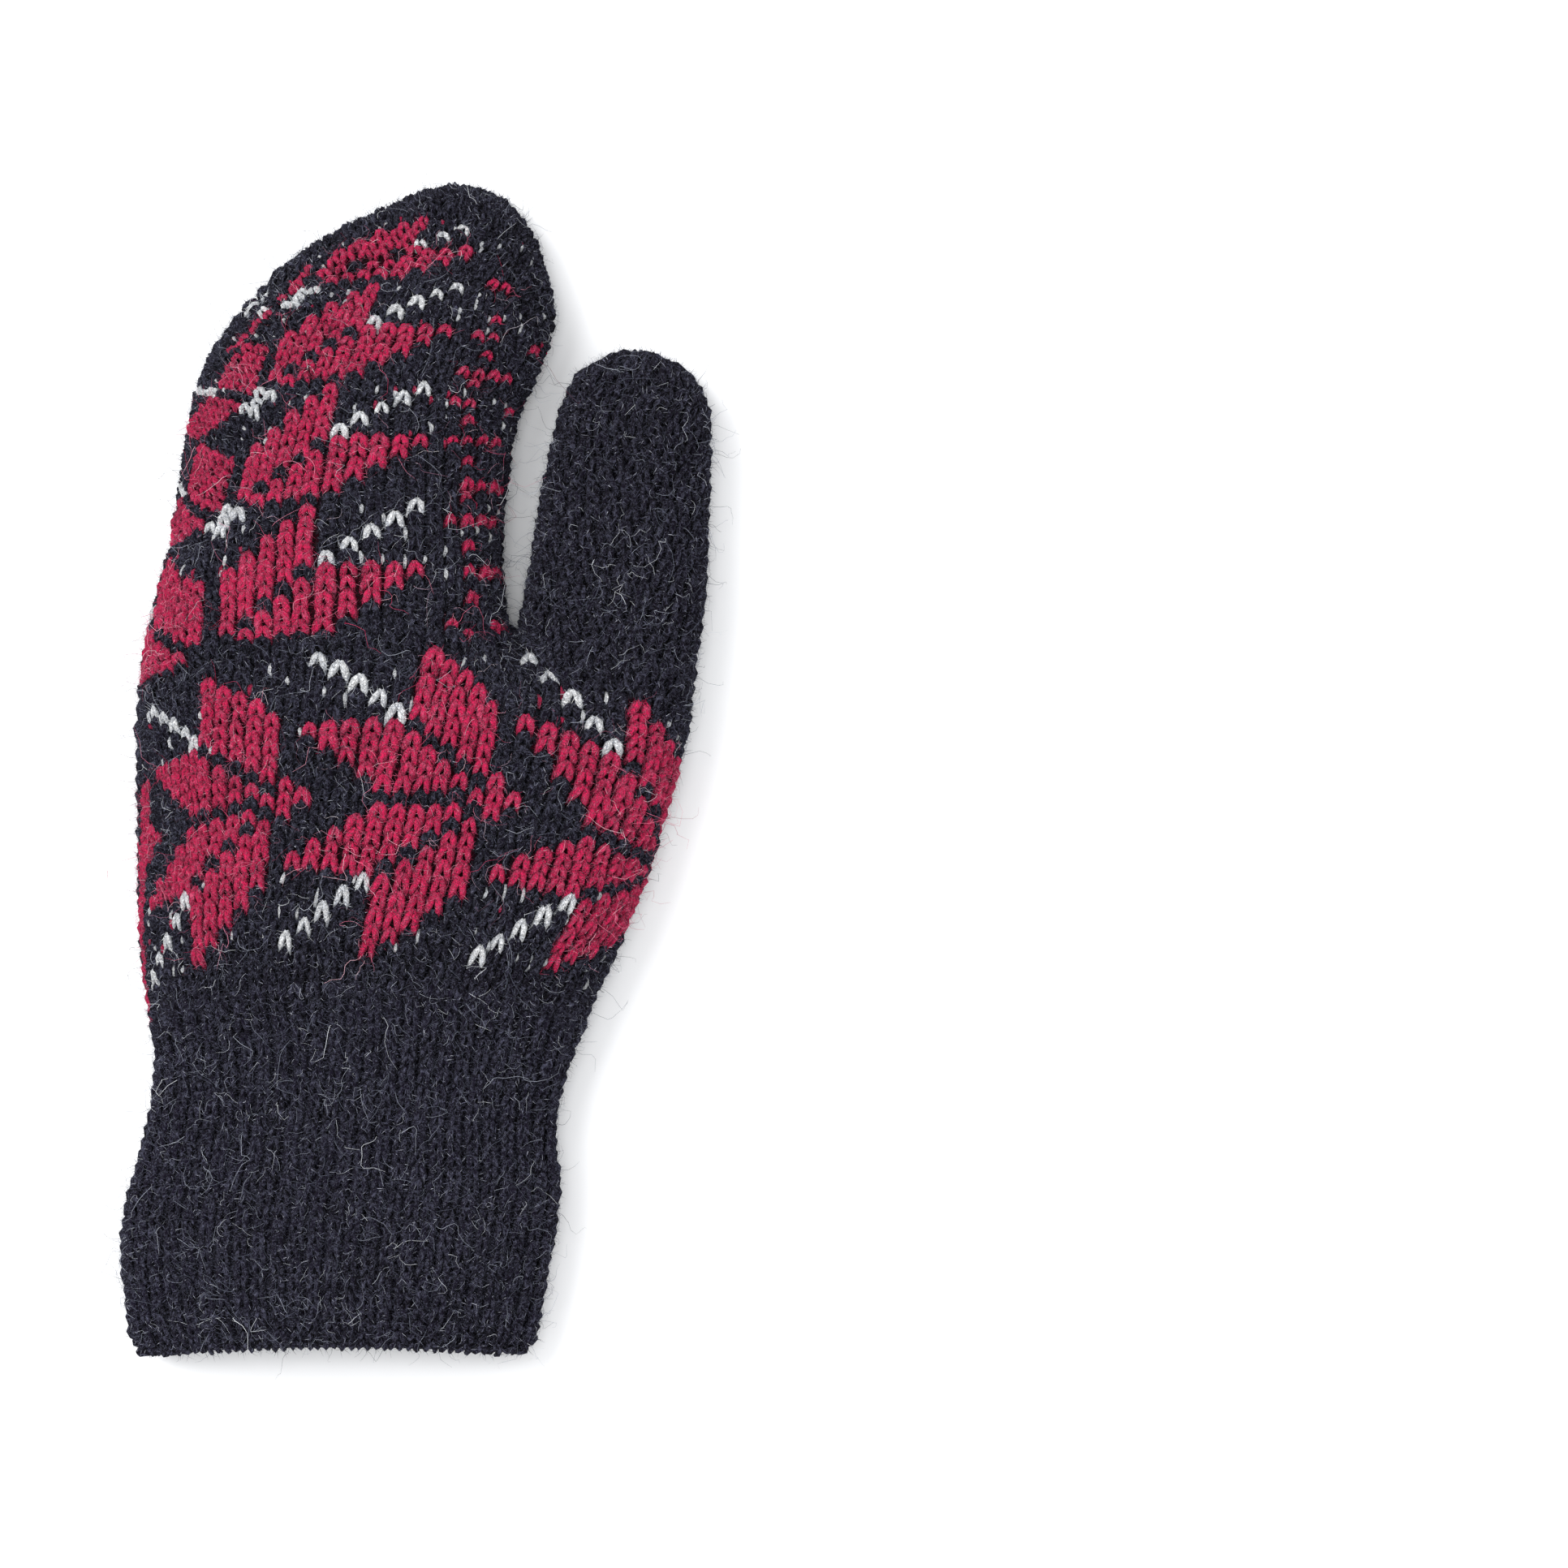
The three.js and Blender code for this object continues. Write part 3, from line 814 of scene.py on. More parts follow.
SHORTEST_FIBRE = 0.35  # of the longest
FIBRE_TIP = 0.3  # a fibre's radius there, of that at its root
FIBRE_RISE = 0.8 * MM  # how much higher than the lowest some fibres are kept
ROOT_SHARE = 0.3  # of a fibre, which climbs from the skin to the height where it is kept
FLOOR_STOP = (-1.0, -1.0, 0.2 * MM)  # the lowest place of a fibre, far out in x and y
SHORTEST_FUZZ = 0.4  # of the longest
FUZZ_FACING = -0.15  # the upward part of the yarn's normal from which fuzz grows


def fibre_tree():
    """Grows fine bent fibres from a skin, each a closed tapering thread that stays near the skin."""
    tree, given, result = tree_with("brushed_fibres", {
        "Density": "Float",
        "Length": "Float",
        "Radius": "Float",
        "Stand": "Float",
        "Bend": "Float",
        "Bend size": "Float",
        "Lowest": "Float",
        "Highest": "Float",
        "Steps": "Int",
        "Seed": "Int",
        "Material": "Material",
    })
    cover = add_node(tree, "GeometryNodeInputNamedAttribute", {"Name": "cover"}, data_type="FLOAT")
    density = add_node(tree, "ShaderNodeMath", {0: socket(cover.outputs, "Attribute"), 1: given["Density"]},
                       operation="MULTIPLY")
    roots = add_node(tree, "GeometryNodeDistributePointsOnFaces", {
        "Mesh": given["Geometry"],
        "Density": density.outputs[0],
        "Seed": given["Seed"],
    })
    share = add_node(tree, "FunctionNodeRandomValue", {"Min": SHORTEST_FIBRE, "Max": 1.0, "Seed": 7},
                     data_type="FLOAT")
    size = add_node(tree, "ShaderNodeMath", {0: socket(share.outputs, "Value"), 1: given["Length"]},
                    operation="MULTIPLY")
    thread = add_node(tree, "GeometryNodeCurvePrimitiveLine", {"Start": (0, 0, 0), "End": (0, 0, 1)})
    stepped = add_node(tree, "GeometryNodeResampleCurve", {
        "Curve": thread.outputs[0],
        "Count": given["Steps"],
    })
    grown = add_node(tree, "GeometryNodeInstanceOnPoints", {
        "Points": roots.outputs["Points"],
        "Instance": stepped.outputs[0],
        "Rotation": random_way(tree, roots.outputs["Normal"], given["Stand"], given["Seed"]),
        "Scale": size.outputs[0],
    }).outputs[0]
    for name, seed in (("shade", 11), ("rise", 12)):
        own = add_node(tree, "FunctionNodeRandomValue", {"Min": 0.0, "Max": 1.0, "Seed": seed},
                       data_type="FLOAT")
        grown = add_node(tree, "GeometryNodeStoreNamedAttribute", {
            "Geometry": grown,
            "Name": name,
            "Value": socket(own.outputs, "Value"),
        }, data_type="FLOAT", domain="INSTANCE").outputs[0]
    real = add_node(tree, "GeometryNodeRealizeInstances", {"Geometry": grown})
    along = add_node(tree, "GeometryNodeSplineParameter").outputs["Factor"]
    swing = add_node(tree, "ShaderNodeMath", {0: along, 1: given["Bend"]}, operation="MULTIPLY")
    bent = add_node(tree, "GeometryNodeSetPosition", {
        "Geometry": real.outputs[0],
        "Offset": noise_shift(tree, given["Bend size"], swing.outputs[0]),
    })
    clinging = add_node(tree, "GeometryNodeSetPosition", {
        "Geometry": bent.outputs[0],
        "Position": kept_near(tree, given),
    })
    taper = add_node(tree, "ShaderNodeMapRange", {"Value": along, "To Min": 1.0, "To Max": FIBRE_TIP})
    radius = add_node(tree, "ShaderNodeMath", {0: taper.outputs[0], 1: given["Radius"]}, operation="MULTIPLY")
    ring = add_node(tree, "GeometryNodeCurvePrimitiveCircle", {"Resolution": 3, "Radius": 1.0})
    fibres = add_node(tree, "GeometryNodeCurveToMesh", {
        "Curve": clinging.outputs[0],
        "Profile Curve": ring.outputs[0],
        "Scale": radius.outputs[0],
        "Fill Caps": True,
    })
    finish_tree(tree, fibres.outputs[0], given["Material"], result)
    return tree


def kept_near(tree, given):
    """Each point of a fibre moved so that it lies between two heights over the skin, and over the floor."""
    place = add_node(tree, "GeometryNodeInputPosition").outputs[0]
    nearest = add_node(tree, "GeometryNodeProximity", {
        "Geometry": given["Geometry"],
        "Sample Position": place,
    }, target_element="FACES")
    facing = add_node(tree, "GeometryNodeInputNormal").outputs[0]
    normal = socket(add_node(tree, "GeometryNodeSampleNearestSurface", {
        "Mesh": given["Geometry"],
        "Value": facing,
        "Sample Position": place,
    }, data_type="FLOAT_VECTOR").outputs, "Value")
    off = add_node(tree, "ShaderNodeVectorMath", {0: place, 1: nearest.outputs["Position"]},
                   operation="SUBTRACT").outputs[0]
    height = add_node(tree, "ShaderNodeVectorMath", {0: off, 1: normal}, operation="DOT_PRODUCT")
    rise = add_node(tree, "GeometryNodeInputNamedAttribute", {"Name": "rise"}, data_type="FLOAT")
    settled = add_node(tree, "ShaderNodeMath", {
        0: socket(rise.outputs, "Attribute"),
        1: FIBRE_RISE,
        2: given["Lowest"],
    }, operation="MULTIPLY_ADD")
    along = add_node(tree, "GeometryNodeSplineParameter").outputs["Factor"]
    rooted = add_node(tree, "ShaderNodeMapRange", {"Value": along, "From Max": ROOT_SHARE})
    lowest = add_node(tree, "ShaderNodeMath", {0: settled.outputs[0], 1: rooted.outputs[0]},
                      operation="MULTIPLY")
    kept = add_node(tree, "ShaderNodeClamp", {
        "Value": height.outputs["Value"],
        "Min": lowest.outputs[0],
        "Max": given["Highest"],
    })
    lift = add_node(tree, "ShaderNodeVectorMath", {0: normal, "Scale": kept.outputs[0]}, operation="SCALE")
    lifted = add_node(tree, "ShaderNodeVectorMath", {0: nearest.outputs["Position"], 1: lift.outputs[0]},
                      operation="ADD")
    return add_node(tree, "ShaderNodeVectorMath", {0: lifted.outputs[0], 1: FLOOR_STOP},
                    operation="MAXIMUM").outputs[0]


def fuzz_tree():
    """Raises short fine fibres, each a slender closed spike, from the upper side of the yarn."""
    tree, given, result = tree_with("yarn_fuzz", {
        "Density": "Float",
        "Length": "Float",
        "Radius": "Float",
        "Stand": "Float",
        "Seed": "Int",
        "Material": "Material",
    })
    facing = add_node(tree, "GeometryNodeInputNormal").outputs[0]
    height = add_node(tree, "ShaderNodeSeparateXYZ", {0: facing}).outputs["Z"]
    upper = add_node(tree, "FunctionNodeCompare", {"A": height, "B": FUZZ_FACING}, data_type="FLOAT",
                     operation="GREATER_THAN")
    place = add_node(tree, "GeometryNodeInputPosition").outputs[0]
    over_floor = add_node(tree, "ShaderNodeSeparateXYZ", {0: place}).outputs["Z"]
    clear = add_node(tree, "FunctionNodeCompare", {"A": over_floor, "B": given["Length"]}, data_type="FLOAT",
                     operation="GREATER_THAN")
    grows = add_node(tree, "FunctionNodeBooleanMath", {0: upper.outputs[0], 1: clear.outputs[0]},
                     operation="AND")
    roots = add_node(tree, "GeometryNodeDistributePointsOnFaces", {
        "Mesh": given["Geometry"],
        "Selection": grows.outputs[0],
        "Density": given["Density"],
        "Seed": given["Seed"],
    })
    spike = add_node(tree, "GeometryNodeMeshCone", {
        "Vertices": 3,
        "Radius Top": 0.0,
        "Radius Bottom": given["Radius"],
        "Depth": given["Length"],
    }).outputs["Mesh"]
    share = add_node(tree, "FunctionNodeRandomValue", {"Min": SHORTEST_FUZZ, "Max": 1.0, "Seed": 3},
                     data_type="FLOAT")
    size = add_node(tree, "ShaderNodeCombineXYZ", {"X": 1.0, "Y": 1.0, "Z": socket(share.outputs, "Value")})
    grown = add_node(tree, "GeometryNodeInstanceOnPoints", {
        "Points": roots.outputs["Points"],
        "Instance": spike,
        "Rotation": random_way(tree, roots.outputs["Normal"], given["Stand"], given["Seed"]),
        "Scale": size.outputs[0],
    }).outputs[0]
    own = add_node(tree, "FunctionNodeRandomValue", {"Min": 0.0, "Max": 1.0, "Seed": 11}, data_type="FLOAT")
    shaded = add_node(tree, "GeometryNodeStoreNamedAttribute", {
        "Geometry": grown,
        "Name": "shade",
        "Value": socket(own.outputs, "Value"),
    }, data_type="FLOAT", domain="INSTANCE")
    finish_tree(tree, shaded.outputs[0], given["Material"], result)
    return tree


# Materials

# Sizes of the wool's patterns, in millimetres
GRAIN_SIZE = 0.4  # coarser than a real fibre's 0.03, so that it shows
PATCH_SIZE = 5.0  # the lighter and darker clumps that brushing leaves
GAP_SHARE = 0.6  # of a fibre's curl, for the breaks in it
# Three layers of fine fibres: the size of their curls, their width as a share of the noise, and their shift
WEB_LAYERS = (
    (2.4, 0.04, (0.0, 0.0, 0.0)),
    (1.4, 0.06, (0.31, 0.17, 0.43)),
    (0.9, 0.07, (0.12, 0.53, 0.29)),
)
PAINTED_LIGHT_HEIGHT = 1.5  # the height in a stitch's shape from which its yarn gets the full painted highlight
NAP_DEPTH = 0.7  # of the bumps that the fibres make

# Tones, from 0 to 1, and the streaks of the spun yarn
PAINTED_LIGHT_TONE = 0.8  # the painted light on the top of a stitch
SHADE_SPREAD = 0.2  # how much brighter the brightest stitch is than the darkest
SPUN_TWIST = 4.0  # how far the streaks wind round the yarn along one leg of a stitch, in radians
SPUN_ACROSS = 4.0  # how fine they are across it
SPUN_ALONG = 2.2  # and along one leg
SPUN_APART = 60.0  # how far apart two stitches take theirs from the same noise


def new_material(name):
    material = bpy.data.materials.new(name)
    material.use_nodes = True
    material.node_tree.nodes.clear()
    return material, material.node_tree


def pattern_scale(size):
    """The noise scale that gives a pattern of a size in millimetres."""
    return 1 / (size * MM)


def drawn_fibres(tree, place, size, width, shift):
    """Thin lines that curl at a size, where a soft noise passes through its middle, broken here and there."""
    moved = add_node(tree, "ShaderNodeMapping", {"Vector": place, "Location": shift}).outputs[0]
    noise = add_node(tree, "ShaderNodeTexNoise", {
        "Vector": moved, "Scale": pattern_scale(size), "Detail": 1.5, "Distortion": 0.6}).outputs["Fac"]
    gaps = add_node(tree, "ShaderNodeTexNoise", {
        "Vector": moved, "Scale": pattern_scale(size * GAP_SHARE), "Detail": 0.0})
    off_line = add_node(tree, "ShaderNodeMath", {0: noise, 1: 0.5}, operation="SUBTRACT")
    distance = add_node(tree, "ShaderNodeMath", {0: off_line.outputs[0]}, operation="ABSOLUTE")
    line = add_node(tree, "ShaderNodeMapRange", {
        "Value": distance.outputs[0], "From Min": 0.0, "From Max": width, "To Min": 1.0, "To Max": 0.0})
    shown = add_node(tree, "ShaderNodeMapRange", {
        "Value": gaps.outputs["Fac"], "From Min": 0.42, "From Max": 0.56, "To Min": 0.0, "To Max": 1.0})
    return add_node(tree, "ShaderNodeMath", {0: line.outputs[0], 1: shown.outputs[0]},
                    operation="MULTIPLY").outputs[0]


def spun_fibres(tree, shade):
    """Streaks that wind along a stitch's yarn, as the fibres of a spun thread do."""
    along = add_node(tree, "ShaderNodeAttribute", attribute_name="along").outputs["Fac"]
    edge = add_node(tree, "ShaderNodeAttribute", attribute_name="round").outputs["Vector"]
    twist = add_node(tree, "ShaderNodeMath", {0: along, 1: SPUN_TWIST}, operation="MULTIPLY")
    wound = add_node(tree, "ShaderNodeVectorRotate", {"Vector": edge, "Angle": twist.outputs[0]},
                     rotation_type="Z_AXIS")
    across = add_node(tree, "ShaderNodeVectorMath", {0: wound.outputs[0], "Scale": SPUN_ACROSS},
                      operation="SCALE")
    length = add_node(tree, "ShaderNodeMath", {0: along, 1: SPUN_ALONG}, operation="MULTIPLY")
    own = add_node(tree, "ShaderNodeMath", {0: shade, 1: SPUN_APART, 2: length.outputs[0]},
                   operation="MULTIPLY_ADD")
    lift = add_node(tree, "ShaderNodeCombineXYZ", {"Z": own.outputs[0]})
    strand = add_node(tree, "ShaderNodeVectorMath", {0: across.outputs[0], 1: lift.outputs[0]},
                      operation="ADD")
    streaks = add_node(tree, "ShaderNodeTexNoise", {
        "Vector": strand.outputs[0], "Scale": 1.0, "Detail": 3.0, "Roughness": 0.65})
    return streaks.outputs["Fac"]


def wool(name, colours, fibre, veil, patchy, painted_shade_depth, marked=None):
    """Brushed wool: matt, mottled, spun yarn under a web of fine lighter fibres, with painted light high in
    each stitch and painted shade low in it.
    """
    material, tree = new_material(name)
    place = add_node(tree, "ShaderNodeTexCoord").outputs["Object"]
    shade = add_node(tree, "ShaderNodeAttribute", attribute_name="shade").outputs["Fac"]
    grain = add_node(tree, "ShaderNodeTexNoise", {
        "Vector": place, "Scale": pattern_scale(GRAIN_SIZE), "Detail": 3.0})
    patches = add_node(tree, "ShaderNodeTexNoise", {
        "Vector": place, "Scale": pattern_scale(PATCH_SIZE), "Detail": 4.0, "Roughness": 0.6})
    spun = spun_fibres(tree, shade)
    texture = add_node(tree, "ShaderNodeMath", {0: spun, 1: grain.outputs["Fac"]}, operation="ADD")
    relief = add_node(tree, "ShaderNodeAttribute", attribute_name="relief").outputs["Fac"]
    spread = add_node(tree, "ShaderNodeMapRange", {
        "Value": texture.outputs[0], "From Min": 0.82, "From Max": 1.18, "To Min": -0.45, "To Max": 0.6})
    mottle = add_node(tree, "ShaderNodeMapRange", {
        "Value": patches.outputs["Fac"],
        "From Min": 0.3, "From Max": 0.7, "To Min": -patchy, "To Max": patchy})
    # Painted light and shade: yarn high in a stitch's shape is painted lighter, and yarn low in it is painted
    # darker, as in grooves. The wall has no height attribute, so it gets the darkest painted shade.
    painted_crown_light = add_node(tree, "ShaderNodeMapRange", {
        "Value": relief, "From Min": 0.0, "From Max": PAINTED_LIGHT_HEIGHT * MM,
        "To Min": PAINTED_LIGHT_TONE - painted_shade_depth, "To Max": PAINTED_LIGHT_TONE})
    mixed = add_node(tree, "ShaderNodeMath", {0: spread.outputs[0], 1: mottle.outputs[0]}, operation="ADD")
    tone = add_node(tree, "ShaderNodeMath", {0: painted_crown_light.outputs[0], 1: mixed.outputs[0]}, operation="ADD")
    varied = add_node(tree, "ShaderNodeMath", {0: shade, 1: SHADE_SPREAD, 2: tone.outputs[0]},
                      operation="MULTIPLY_ADD", use_clamp=True)
    yarn = socket(add_node(tree, "ShaderNodeMix", {
        "Factor": varied.outputs[0], "A": linear(colours[0]), "B": linear(colours[1])},
        data_type="RGBA").outputs, "Result")
    layers = [drawn_fibres(tree, place, *layer) for layer in WEB_LAYERS]
    coarse_web = add_node(tree, "ShaderNodeMath", {0: layers[0], 1: layers[1]}, operation="MAXIMUM")
    web = add_node(tree, "ShaderNodeMath", {0: layers[2], 1: coarse_web.outputs[0]}, operation="MAXIMUM")
    seen = add_node(tree, "ShaderNodeMath", {0: web.outputs[0], 1: veil}, operation="MULTIPLY")
    colour = socket(add_node(tree, "ShaderNodeMix", {
        "Factor": seen.outputs[0], "A": yarn, "B": linear(fibre)}, data_type="RGBA").outputs, "Result")
    if marked:
        crimson = add_node(tree, "ShaderNodeAttribute", attribute_name="crimson").outputs["Fac"]
        colour = socket(add_node(tree, "ShaderNodeMix", {
            "Factor": crimson, "A": colour, "B": linear(marked)}, data_type="RGBA").outputs, "Result")
    nap = add_node(tree, "ShaderNodeMath", {0: texture.outputs[0], 1: web.outputs[0]}, operation="ADD")
    bump = add_node(tree, "ShaderNodeBump", {
        "Height": nap.outputs[0], "Strength": 1.0, "Distance": NAP_DEPTH * MM})
    shader = add_node(tree, "ShaderNodeBsdfPrincipled", {
        "Base Color": colour,
        "Roughness": 0.95,
        "Specular IOR Level": 0.06,
        "Sheen Weight": 0.02,
        "Sheen Roughness": 0.4,
        "Normal": bump.outputs[0],
    })
    add_node(tree, "ShaderNodeOutputMaterial", {"Surface": shader.outputs[0]})
    return material


def fibre_tones(tree, shade, colours):
    """A fibre's colour by its shade: half of them between the two darker tones, and few of them pale."""
    ramp = add_node(tree, "ShaderNodeValToRGB", {"Fac": shade})
    ramp.color_ramp.elements[0].color = linear(colours[0])
    ramp.color_ramp.elements[1].color = linear(colours[3])
    ramp.color_ramp.elements.new(0.5).color = linear(colours[1])
    ramp.color_ramp.elements.new(0.86).color = linear(colours[2])
    return ramp.outputs[0]


def loose_fibre(name, colours, marked=None):
    """Single brushed hairs, with a second set of colours where the mark for crimson wool is."""
    material, tree = new_material(name)
    shade = add_node(tree, "ShaderNodeAttribute", attribute_name="shade").outputs["Fac"]
    colour = fibre_tones(tree, shade, colours)
    if marked:
        crimson = add_node(tree, "ShaderNodeAttribute", attribute_name="crimson").outputs["Fac"]
        colour = socket(add_node(tree, "ShaderNodeMix", {
            "Factor": crimson, "A": colour, "B": fibre_tones(tree, shade, marked)},
            data_type="RGBA").outputs, "Result")
    shader = add_node(tree, "ShaderNodeBsdfPrincipled", {
        "Base Color": colour,
        "Roughness": 0.7,
        "Specular IOR Level": 0.25,
    })
    add_node(tree, "ShaderNodeOutputMaterial", {"Surface": shader.outputs[0]})
    return material


# Where crimson yarn lies over the wall, the wall takes crimson wool's painted-shade tone: real crimson,
# painted dark as shade.
black_wool = wool("black_brushed_wool", BLACK_WOOL, BLACK_NAP[2],
                  veil=0.5, patchy=0.4, painted_shade_depth=0.95, marked=CRIMSON_WOOL[0])
charcoal_wool = wool("charcoal_brushed_wool", CHARCOAL_WOOL, BLACK_NAP[2], veil=0.6, patchy=0.6, painted_shade_depth=0.7)
crimson_wool = wool("crimson_brushed_wool", CRIMSON_WOOL, CRIMSON_NAP[2], veil=0.5, patchy=0.25, painted_shade_depth=0.95)
white_wool = wool("white_brushed_wool", WHITE_WOOL, WHITE_FIBRES[3], veil=0.5, patchy=0.2, painted_shade_depth=0.7)
black_fuzz = loose_fibre("black_wool_fuzz", BLACK_NAP)
crimson_fuzz = loose_fibre("crimson_wool_fuzz", CRIMSON_NAP)
white_fuzz = loose_fibre("white_wool_fuzz", WHITE_FIBRES)
loose_wool = loose_fibre("loose_wool_fibre", BLACK_FIBRES, CRIMSON_FIBRES)


def finish_piece(piece, slot, *nodes):
    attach(piece, "root")
    if nodes:
        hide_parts(*nodes)
    return piece


# Making the stitches

PLAIN_STITCH = {
    "Foot": (1.5 * MM, -2.6 * MM, -1.0 * MM),
    "Middle": (1.45 * MM, 0.3 * MM, 1.6 * MM),
    "Head": (0.2 * MM, 2.1 * MM, 0.2 * MM),
    "Yarn radius": YARN_RADIUS * MM,
    "Sides": 4,
    "Steps": 3,
    "Unevenness": 0.75 * MM,
}
BRIGHT_STITCH = {**PLAIN_STITCH, "Sides": 5}
WHITE_STITCH = {**BRIGHT_STITCH, "Yarn radius": 0.86 * MM}
HIDDEN_STITCH = {**PLAIN_STITCH, "Sides": 3, "Steps": 2}
FLOAT_SPECK = {
    **HIDDEN_STITCH,
    "Foot": (0.15 * MM, -1.5 * MM, -0.2 * MM),
    "Middle": (0.25 * MM, 0.0 * MM, 1.8 * MM),
    "Head": (0.1 * MM, 1.5 * MM, 0.0 * MM),
    "Yarn radius": 0.42 * MM,
}
FUZZ = {"Density": 0.88e6, "Length": 2.4 * MM, "Radius": 0.05 * MM, "Stand": 0.6, "Seed": 21}
# Where specks may show: the upward part of the normal, the last course, the rows of a repeat and the wales
SPECK_FACING = 0.4
SPECK_LAST = 55
SPECK_ROWS = (5, 10)
SPECK_WALES = (-27, 9)
SPECK_DRIFT = 0.6  # how far specks stray along their wale
SPECK_LENGTHS = (0.5, 1.2)  # of a stitch

stitch_tree = yarn_tree()
spike_tree = fuzz_tree()


def stitch_piece(part, name, rows, shape, material, fuzz):
    """All stitches of one yarn on one part, and the fuzz that stands on them, if any."""
    points = anchor_points(name, rows, GAUGES[part])
    piece = run_tree(points, stitch_tree, {**shape, "Material": material})
    if fuzz:
        coat = new_object(name + "_fuzz", piece.data.copy())
        run_tree(coat, spike_tree, {**FUZZ, "Material": fuzz})
        finish_piece(coat, f"{part}_wool")
    finish_piece(piece, f"{part}_wool")


def lit(stitches, yarn, first=-math.inf, before=math.inf):
    """The stitches of one yarn that light reaches, from a first course on and before another."""
    return [s for s in stitches.rows if s.yarn == yarn and first <= s.course < before and reached_by_light(s)]


def unlit(stitches, yarn):
    """The stitches of one yarn that no light reaches."""
    return [s for s in stitches.rows if s.yarn == yarn and not reached_by_light(s)]


def shows_speck(stitch):
    """Whether a stitch is a black one in the rows where white yarn is carried behind."""
    row = abs(stitch.course) if stitch.course < UPPER_COURSE else (stitch.course - UPPER_COURSE) % REPEAT
    return (stitch.yarn == "black" and stitch.normal[2] > SPECK_FACING and stitch.course <= SPECK_LAST
            and SPECK_ROWS[0] <= row <= SPECK_ROWS[1] and SPECK_WALES[0] <= stitch.wale <= SPECK_WALES[1])


def float_specks(share, seed):
    """Glimpses, between black stitches, of the yarn carried behind them in the rows that also hold white."""
    rng = np.random.default_rng(seed)
    specks = []
    for stitch in filter(shows_speck, hand.rows):
        if rng.random() < share:
            side = np.array(Vector(stitch.ahead).cross(Vector(stitch.normal)).normalized())
            along_wale = stitch.ahead / np.linalg.norm(stitch.ahead)
            place = stitch.place + (side * stitch.width * 0.5 + along_wale * rng.normal(0, SPECK_DRIFT))
            specks.append(stitch._replace(place=place, height=stitch.height * rng.uniform(*SPECK_LENGTHS)))
    return specks


# columns: part, name, stitches, shape, wool, fuzz
for stitches_of_one_yarn in (
    ("hand", "hand_band_black", lit(hand, "black", before=UPPER_COURSE),
     PLAIN_STITCH, black_wool, black_fuzz),
    ("hand", "hand_upper_black", lit(hand, "black", first=UPPER_COURSE),
     PLAIN_STITCH, black_wool, black_fuzz),
    ("hand", "hand_crimson", lit(hand, "crimson"), BRIGHT_STITCH, crimson_wool, crimson_fuzz),
    ("hand", "hand_white", lit(hand, "white"), WHITE_STITCH, white_wool, white_fuzz),
    ("hand", "palm_black", unlit(hand, "black"), HIDDEN_STITCH, black_wool, None),
    ("hand", "palm_crimson", unlit(hand, "crimson"), HIDDEN_STITCH, crimson_wool, None),
    ("hand", "palm_white", unlit(hand, "white"), HIDDEN_STITCH, white_wool, None),
    ("hand", "float_specks_white", float_specks(share=0.27, seed=3), FLOAT_SPECK, white_wool, None),
    ("hand", "float_specks_crimson", float_specks(share=0.08, seed=4), FLOAT_SPECK, crimson_wool, None),
    ("thumb", "thumb_black", lit(thumb, "black"), PLAIN_STITCH, black_wool, black_fuzz),
    ("thumb", "thumb_underside", unlit(thumb, "black"), HIDDEN_STITCH, black_wool, None),
    ("cuff", "cuff_ribs", lit(cuff, "charcoal"), PLAIN_STITCH, charcoal_wool, black_fuzz),
    ("cuff", "cuff_underside", unlit(cuff, "charcoal"), HIDDEN_STITCH, charcoal_wool, None),
):
    stitch_piece(*stitches_of_one_yarn)


# The wall under the stitches

CRIMSON_REACH = 3.5  # how near a crimson stitch has to be to mark what lies under it
BELOW_CUFF = ((-200, -200), (200, -200), (200, CUFF_END), (-200, CUFF_END))
BLOCK_HEIGHTS = (-50, 100)  # well under and over the mitten

stitch_places = KDTree(len(hand.rows))
for index, stitch in enumerate(hand.rows):
    stitch_places.insert(stitch.place * MM, index)
stitch_places.balance()


def mark_crimson(mesh):
    """Marks where crimson yarn lies over a mesh, for the wool under it and the fibres that grow there."""
    nearest = [stitch_places.find(v.co) for v in mesh.vertices]
    marks = [float(hand.rows[index].yarn == "crimson" and distance < CRIMSON_REACH * MM)
             for _, index, distance in nearest]
    mesh.attributes.new("crimson", "FLOAT", "POINT").data.foreach_set("value", marks)


def prism(name, outline):
    """A closed upright block over an outline seen from above."""
    count = len(outline)
    points = [(x, y, z) for z in BLOCK_HEIGHTS for x, y in outline]
    sides = [(i, (i + 1) % count, count + (i + 1) % count, count + i) for i in range(count)]
    faces = [tuple(range(count)), *sides, tuple(range(count, 2 * count))]
    block = new_object(name, mesh_of(name, points, faces))
    mesh = bmesh.new()
    mesh.from_mesh(block.data)
    bmesh.ops.recalc_face_normals(mesh, faces=mesh.faces)
    mesh.to_mesh(block.data)
    mesh.free()
    return block


def wall_piece(name, slot, node, material, *cuts):
    """The part of the wall that stands for one node, cut out with blocks."""
    piece = new_object(name, wall.data.copy())
    for block, operation in cuts:
        combine(piece, block, operation)
    piece.data.materials.clear()
    piece.data.materials.append(material)
    piece.data.shade_smooth()
    mark_crimson(piece.data)
    return finish_piece(piece, slot, node)


cuff_block = prism("cuff_block", BELOW_CUFF)
thumb_block = prism("thumb_block", THUMB_CUT)
wall_piece("cuff_wall", "cuff_wool", "cuff", charcoal_wool, (cuff_block, "INTERSECT"))
wall_piece("thumb_wall", "thumb_wool", "thumb", black_wool, (thumb_block, "INTERSECT"))
wall_piece("hand_wall", "hand_wool", "hand", black_wool,
           (cuff_block, "DIFFERENCE"), (thumb_block, "DIFFERENCE"))
for helper in (cuff_block, thumb_block, wall):
    bpy.data.objects.remove(helper)

# Fibres

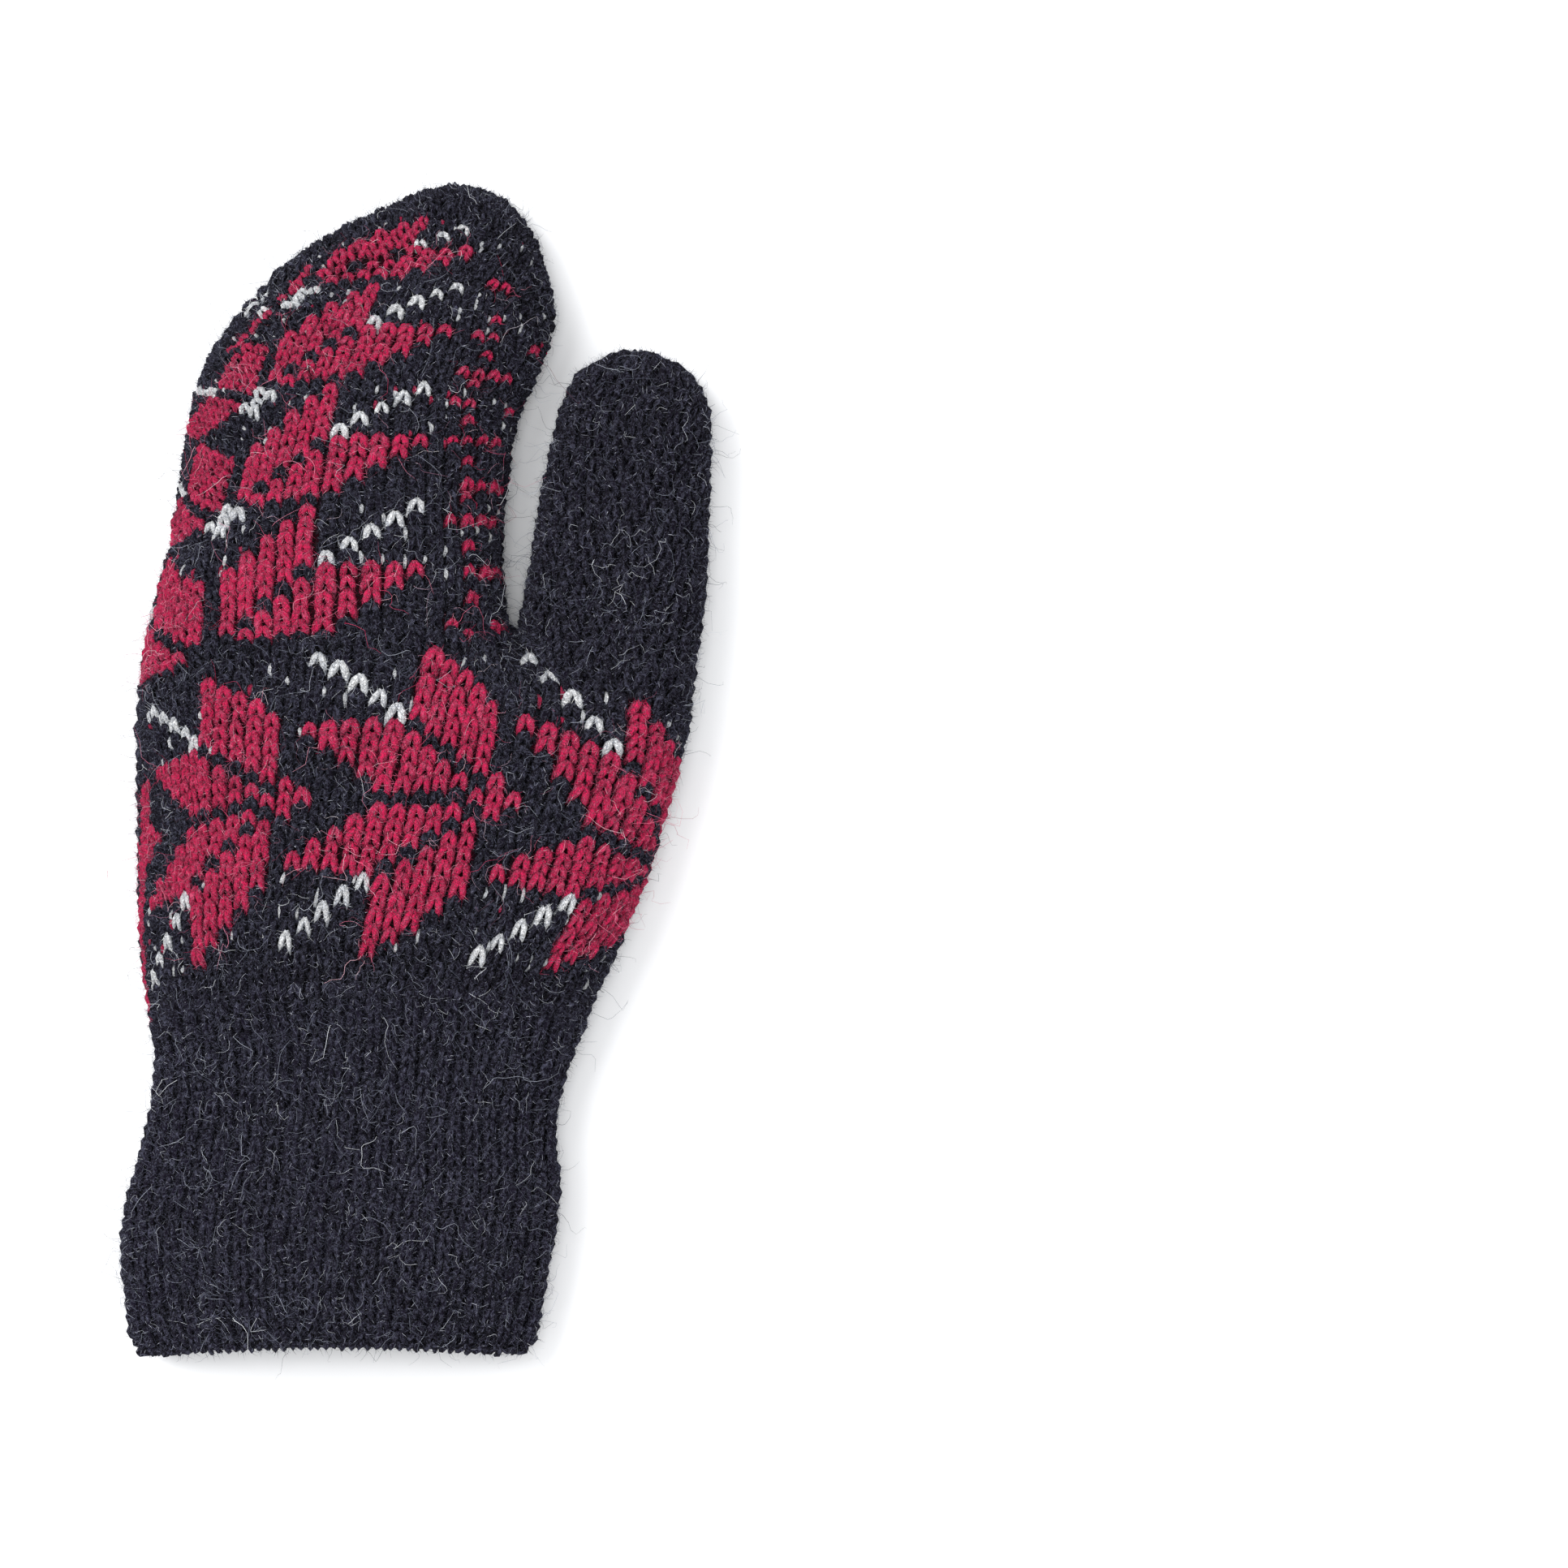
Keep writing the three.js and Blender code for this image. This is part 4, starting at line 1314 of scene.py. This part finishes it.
FIBRES = {
    "curled_fibres": {"Density": 100000.0, "Length": 7.5 * MM, "Radius": 0.042 * MM, "Stand": 0.5,
                      "Bend": 10.0 * MM, "Bend size": 4.0 * MM, "Lowest": 1.9 * MM, "Highest": 4.0 * MM,
                      "Steps": 7, "Seed": 6},
    "halo_fibres": {"Density": 24000.0, "Length": 14.0 * MM, "Radius": 0.055 * MM, "Stand": 0.9,
                    "Bend": 24.0 * MM, "Bend size": 6.5 * MM, "Lowest": 1.6 * MM, "Highest": 9.0 * MM,
                    "Steps": 11, "Seed": 7},
}
CUT_END_FACING = -0.8  # the part of the skin's normal along y under which it is the end at the wrist
BELLY_FACING = -0.3  # the upward part of its normal under which few fibres grow
BELLY_COVER = 0.12  # how many grow there, as a share


def cover_of(part, vertex):
    """How thickly fibres grow at a place of the skin: less underneath, none on other parts or the cut end."""
    x, y, _ = vertex.co / MM
    here = "cuff" if y < CUFF_END else "hand" if beside_thumb(x, y) else "thumb"
    if here != part or vertex.normal.y < CUT_END_FACING:
        return 0.0
    return 1.0 if vertex.normal.z > BELLY_FACING else BELLY_COVER


hair_tree = fibre_tree()
for part in ("cuff", "hand", "thumb"):
    marked = skin.data.copy()
    cover = [cover_of(part, vertex) for vertex in marked.vertices]
    marked.attributes.new("cover", "FLOAT", "POINT").data.foreach_set("value", cover)
    mark_crimson(marked)
    for kind, growth in FIBRES.items():
        coat = new_object(f"{part}_{kind}", marked.copy())
        run_tree(coat, hair_tree, {**growth, "Material": loose_wool})
        finish_piece(coat, f"{part}_wool")
bpy.data.objects.remove(skin)

# Floor, light and camera

FLOOR_HALF = 3000
SKY_STRENGTH = 0.75
PHOTO_WIDTH = 361.0  # how much of the floor the photo's frame spans, in millimetres
PHOTO_CENTRE = (84.5, -2.9)
MID_HEIGHT = 20.0  # the mitten's mean height, where the frame is measured


def floor():
    material, tree = new_material("pale_floor")
    shader = add_node(tree, "ShaderNodeBsdfPrincipled",
                      {"Base Color": linear(FLOOR), "Roughness": 0.9, "Specular IOR Level": 0.1})
    add_node(tree, "ShaderNodeOutputMaterial", {"Surface": shader.outputs[0]})
    corners = [(x * FLOOR_HALF, y * FLOOR_HALF, 0) for x, y in ((-1, -1), (1, -1), (1, 1), (-1, 1))]
    mesh = mesh_of("floor", corners, [(0, 1, 2, 3)])
    mesh.materials.append(material)
    new_object("floor", mesh)


def area_light(name, place, aim, size, power):
    """A square light at a place that shines on another, with places and size in metres."""
    light = bpy.data.lights.new(name, "AREA")
    light.size = size
    light.energy = power
    lamp = new_object(name, light)
    lamp.location = place
    lamp.rotation_euler = (Vector(aim) - Vector(place)).to_track_quat("-Z", "Y").to_euler()


floor()
area_light("key_light", place=(-0.55, 0.35, 1.1), aim=(0.0, 0.0, 0.0), size=0.7, power=13.0)
area_light("fill_light", place=(0.6, -0.4, 1.2), aim=(0.0, 0.0, 0.0), size=1.2, power=3.5)
area_light("top_light", place=(0.02, 0.06, 1.5), aim=(0.02, 0.06, 0.0), size=0.4, power=7.0)
world = bpy.data.worlds.new("soft_studio")
world.use_nodes = True
world.node_tree.nodes["Background"].inputs["Color"].default_value = (1, 1, 1, 1)
world.node_tree.nodes["Background"].inputs["Strength"].default_value = SKY_STRENGTH
bpy.context.scene.world = world
bpy.context.scene.view_settings.view_transform = "Standard"

camera = bpy.data.cameras.new("camera")
camera.lens = 150
distance = camera.lens * PHOTO_WIDTH / camera.sensor_width
stand = new_object("camera", camera)
stand.location = (PHOTO_CENTRE[0] * MM, PHOTO_CENTRE[1] * MM, (distance + MID_HEIGHT) * MM)
bpy.context.scene.camera = stand
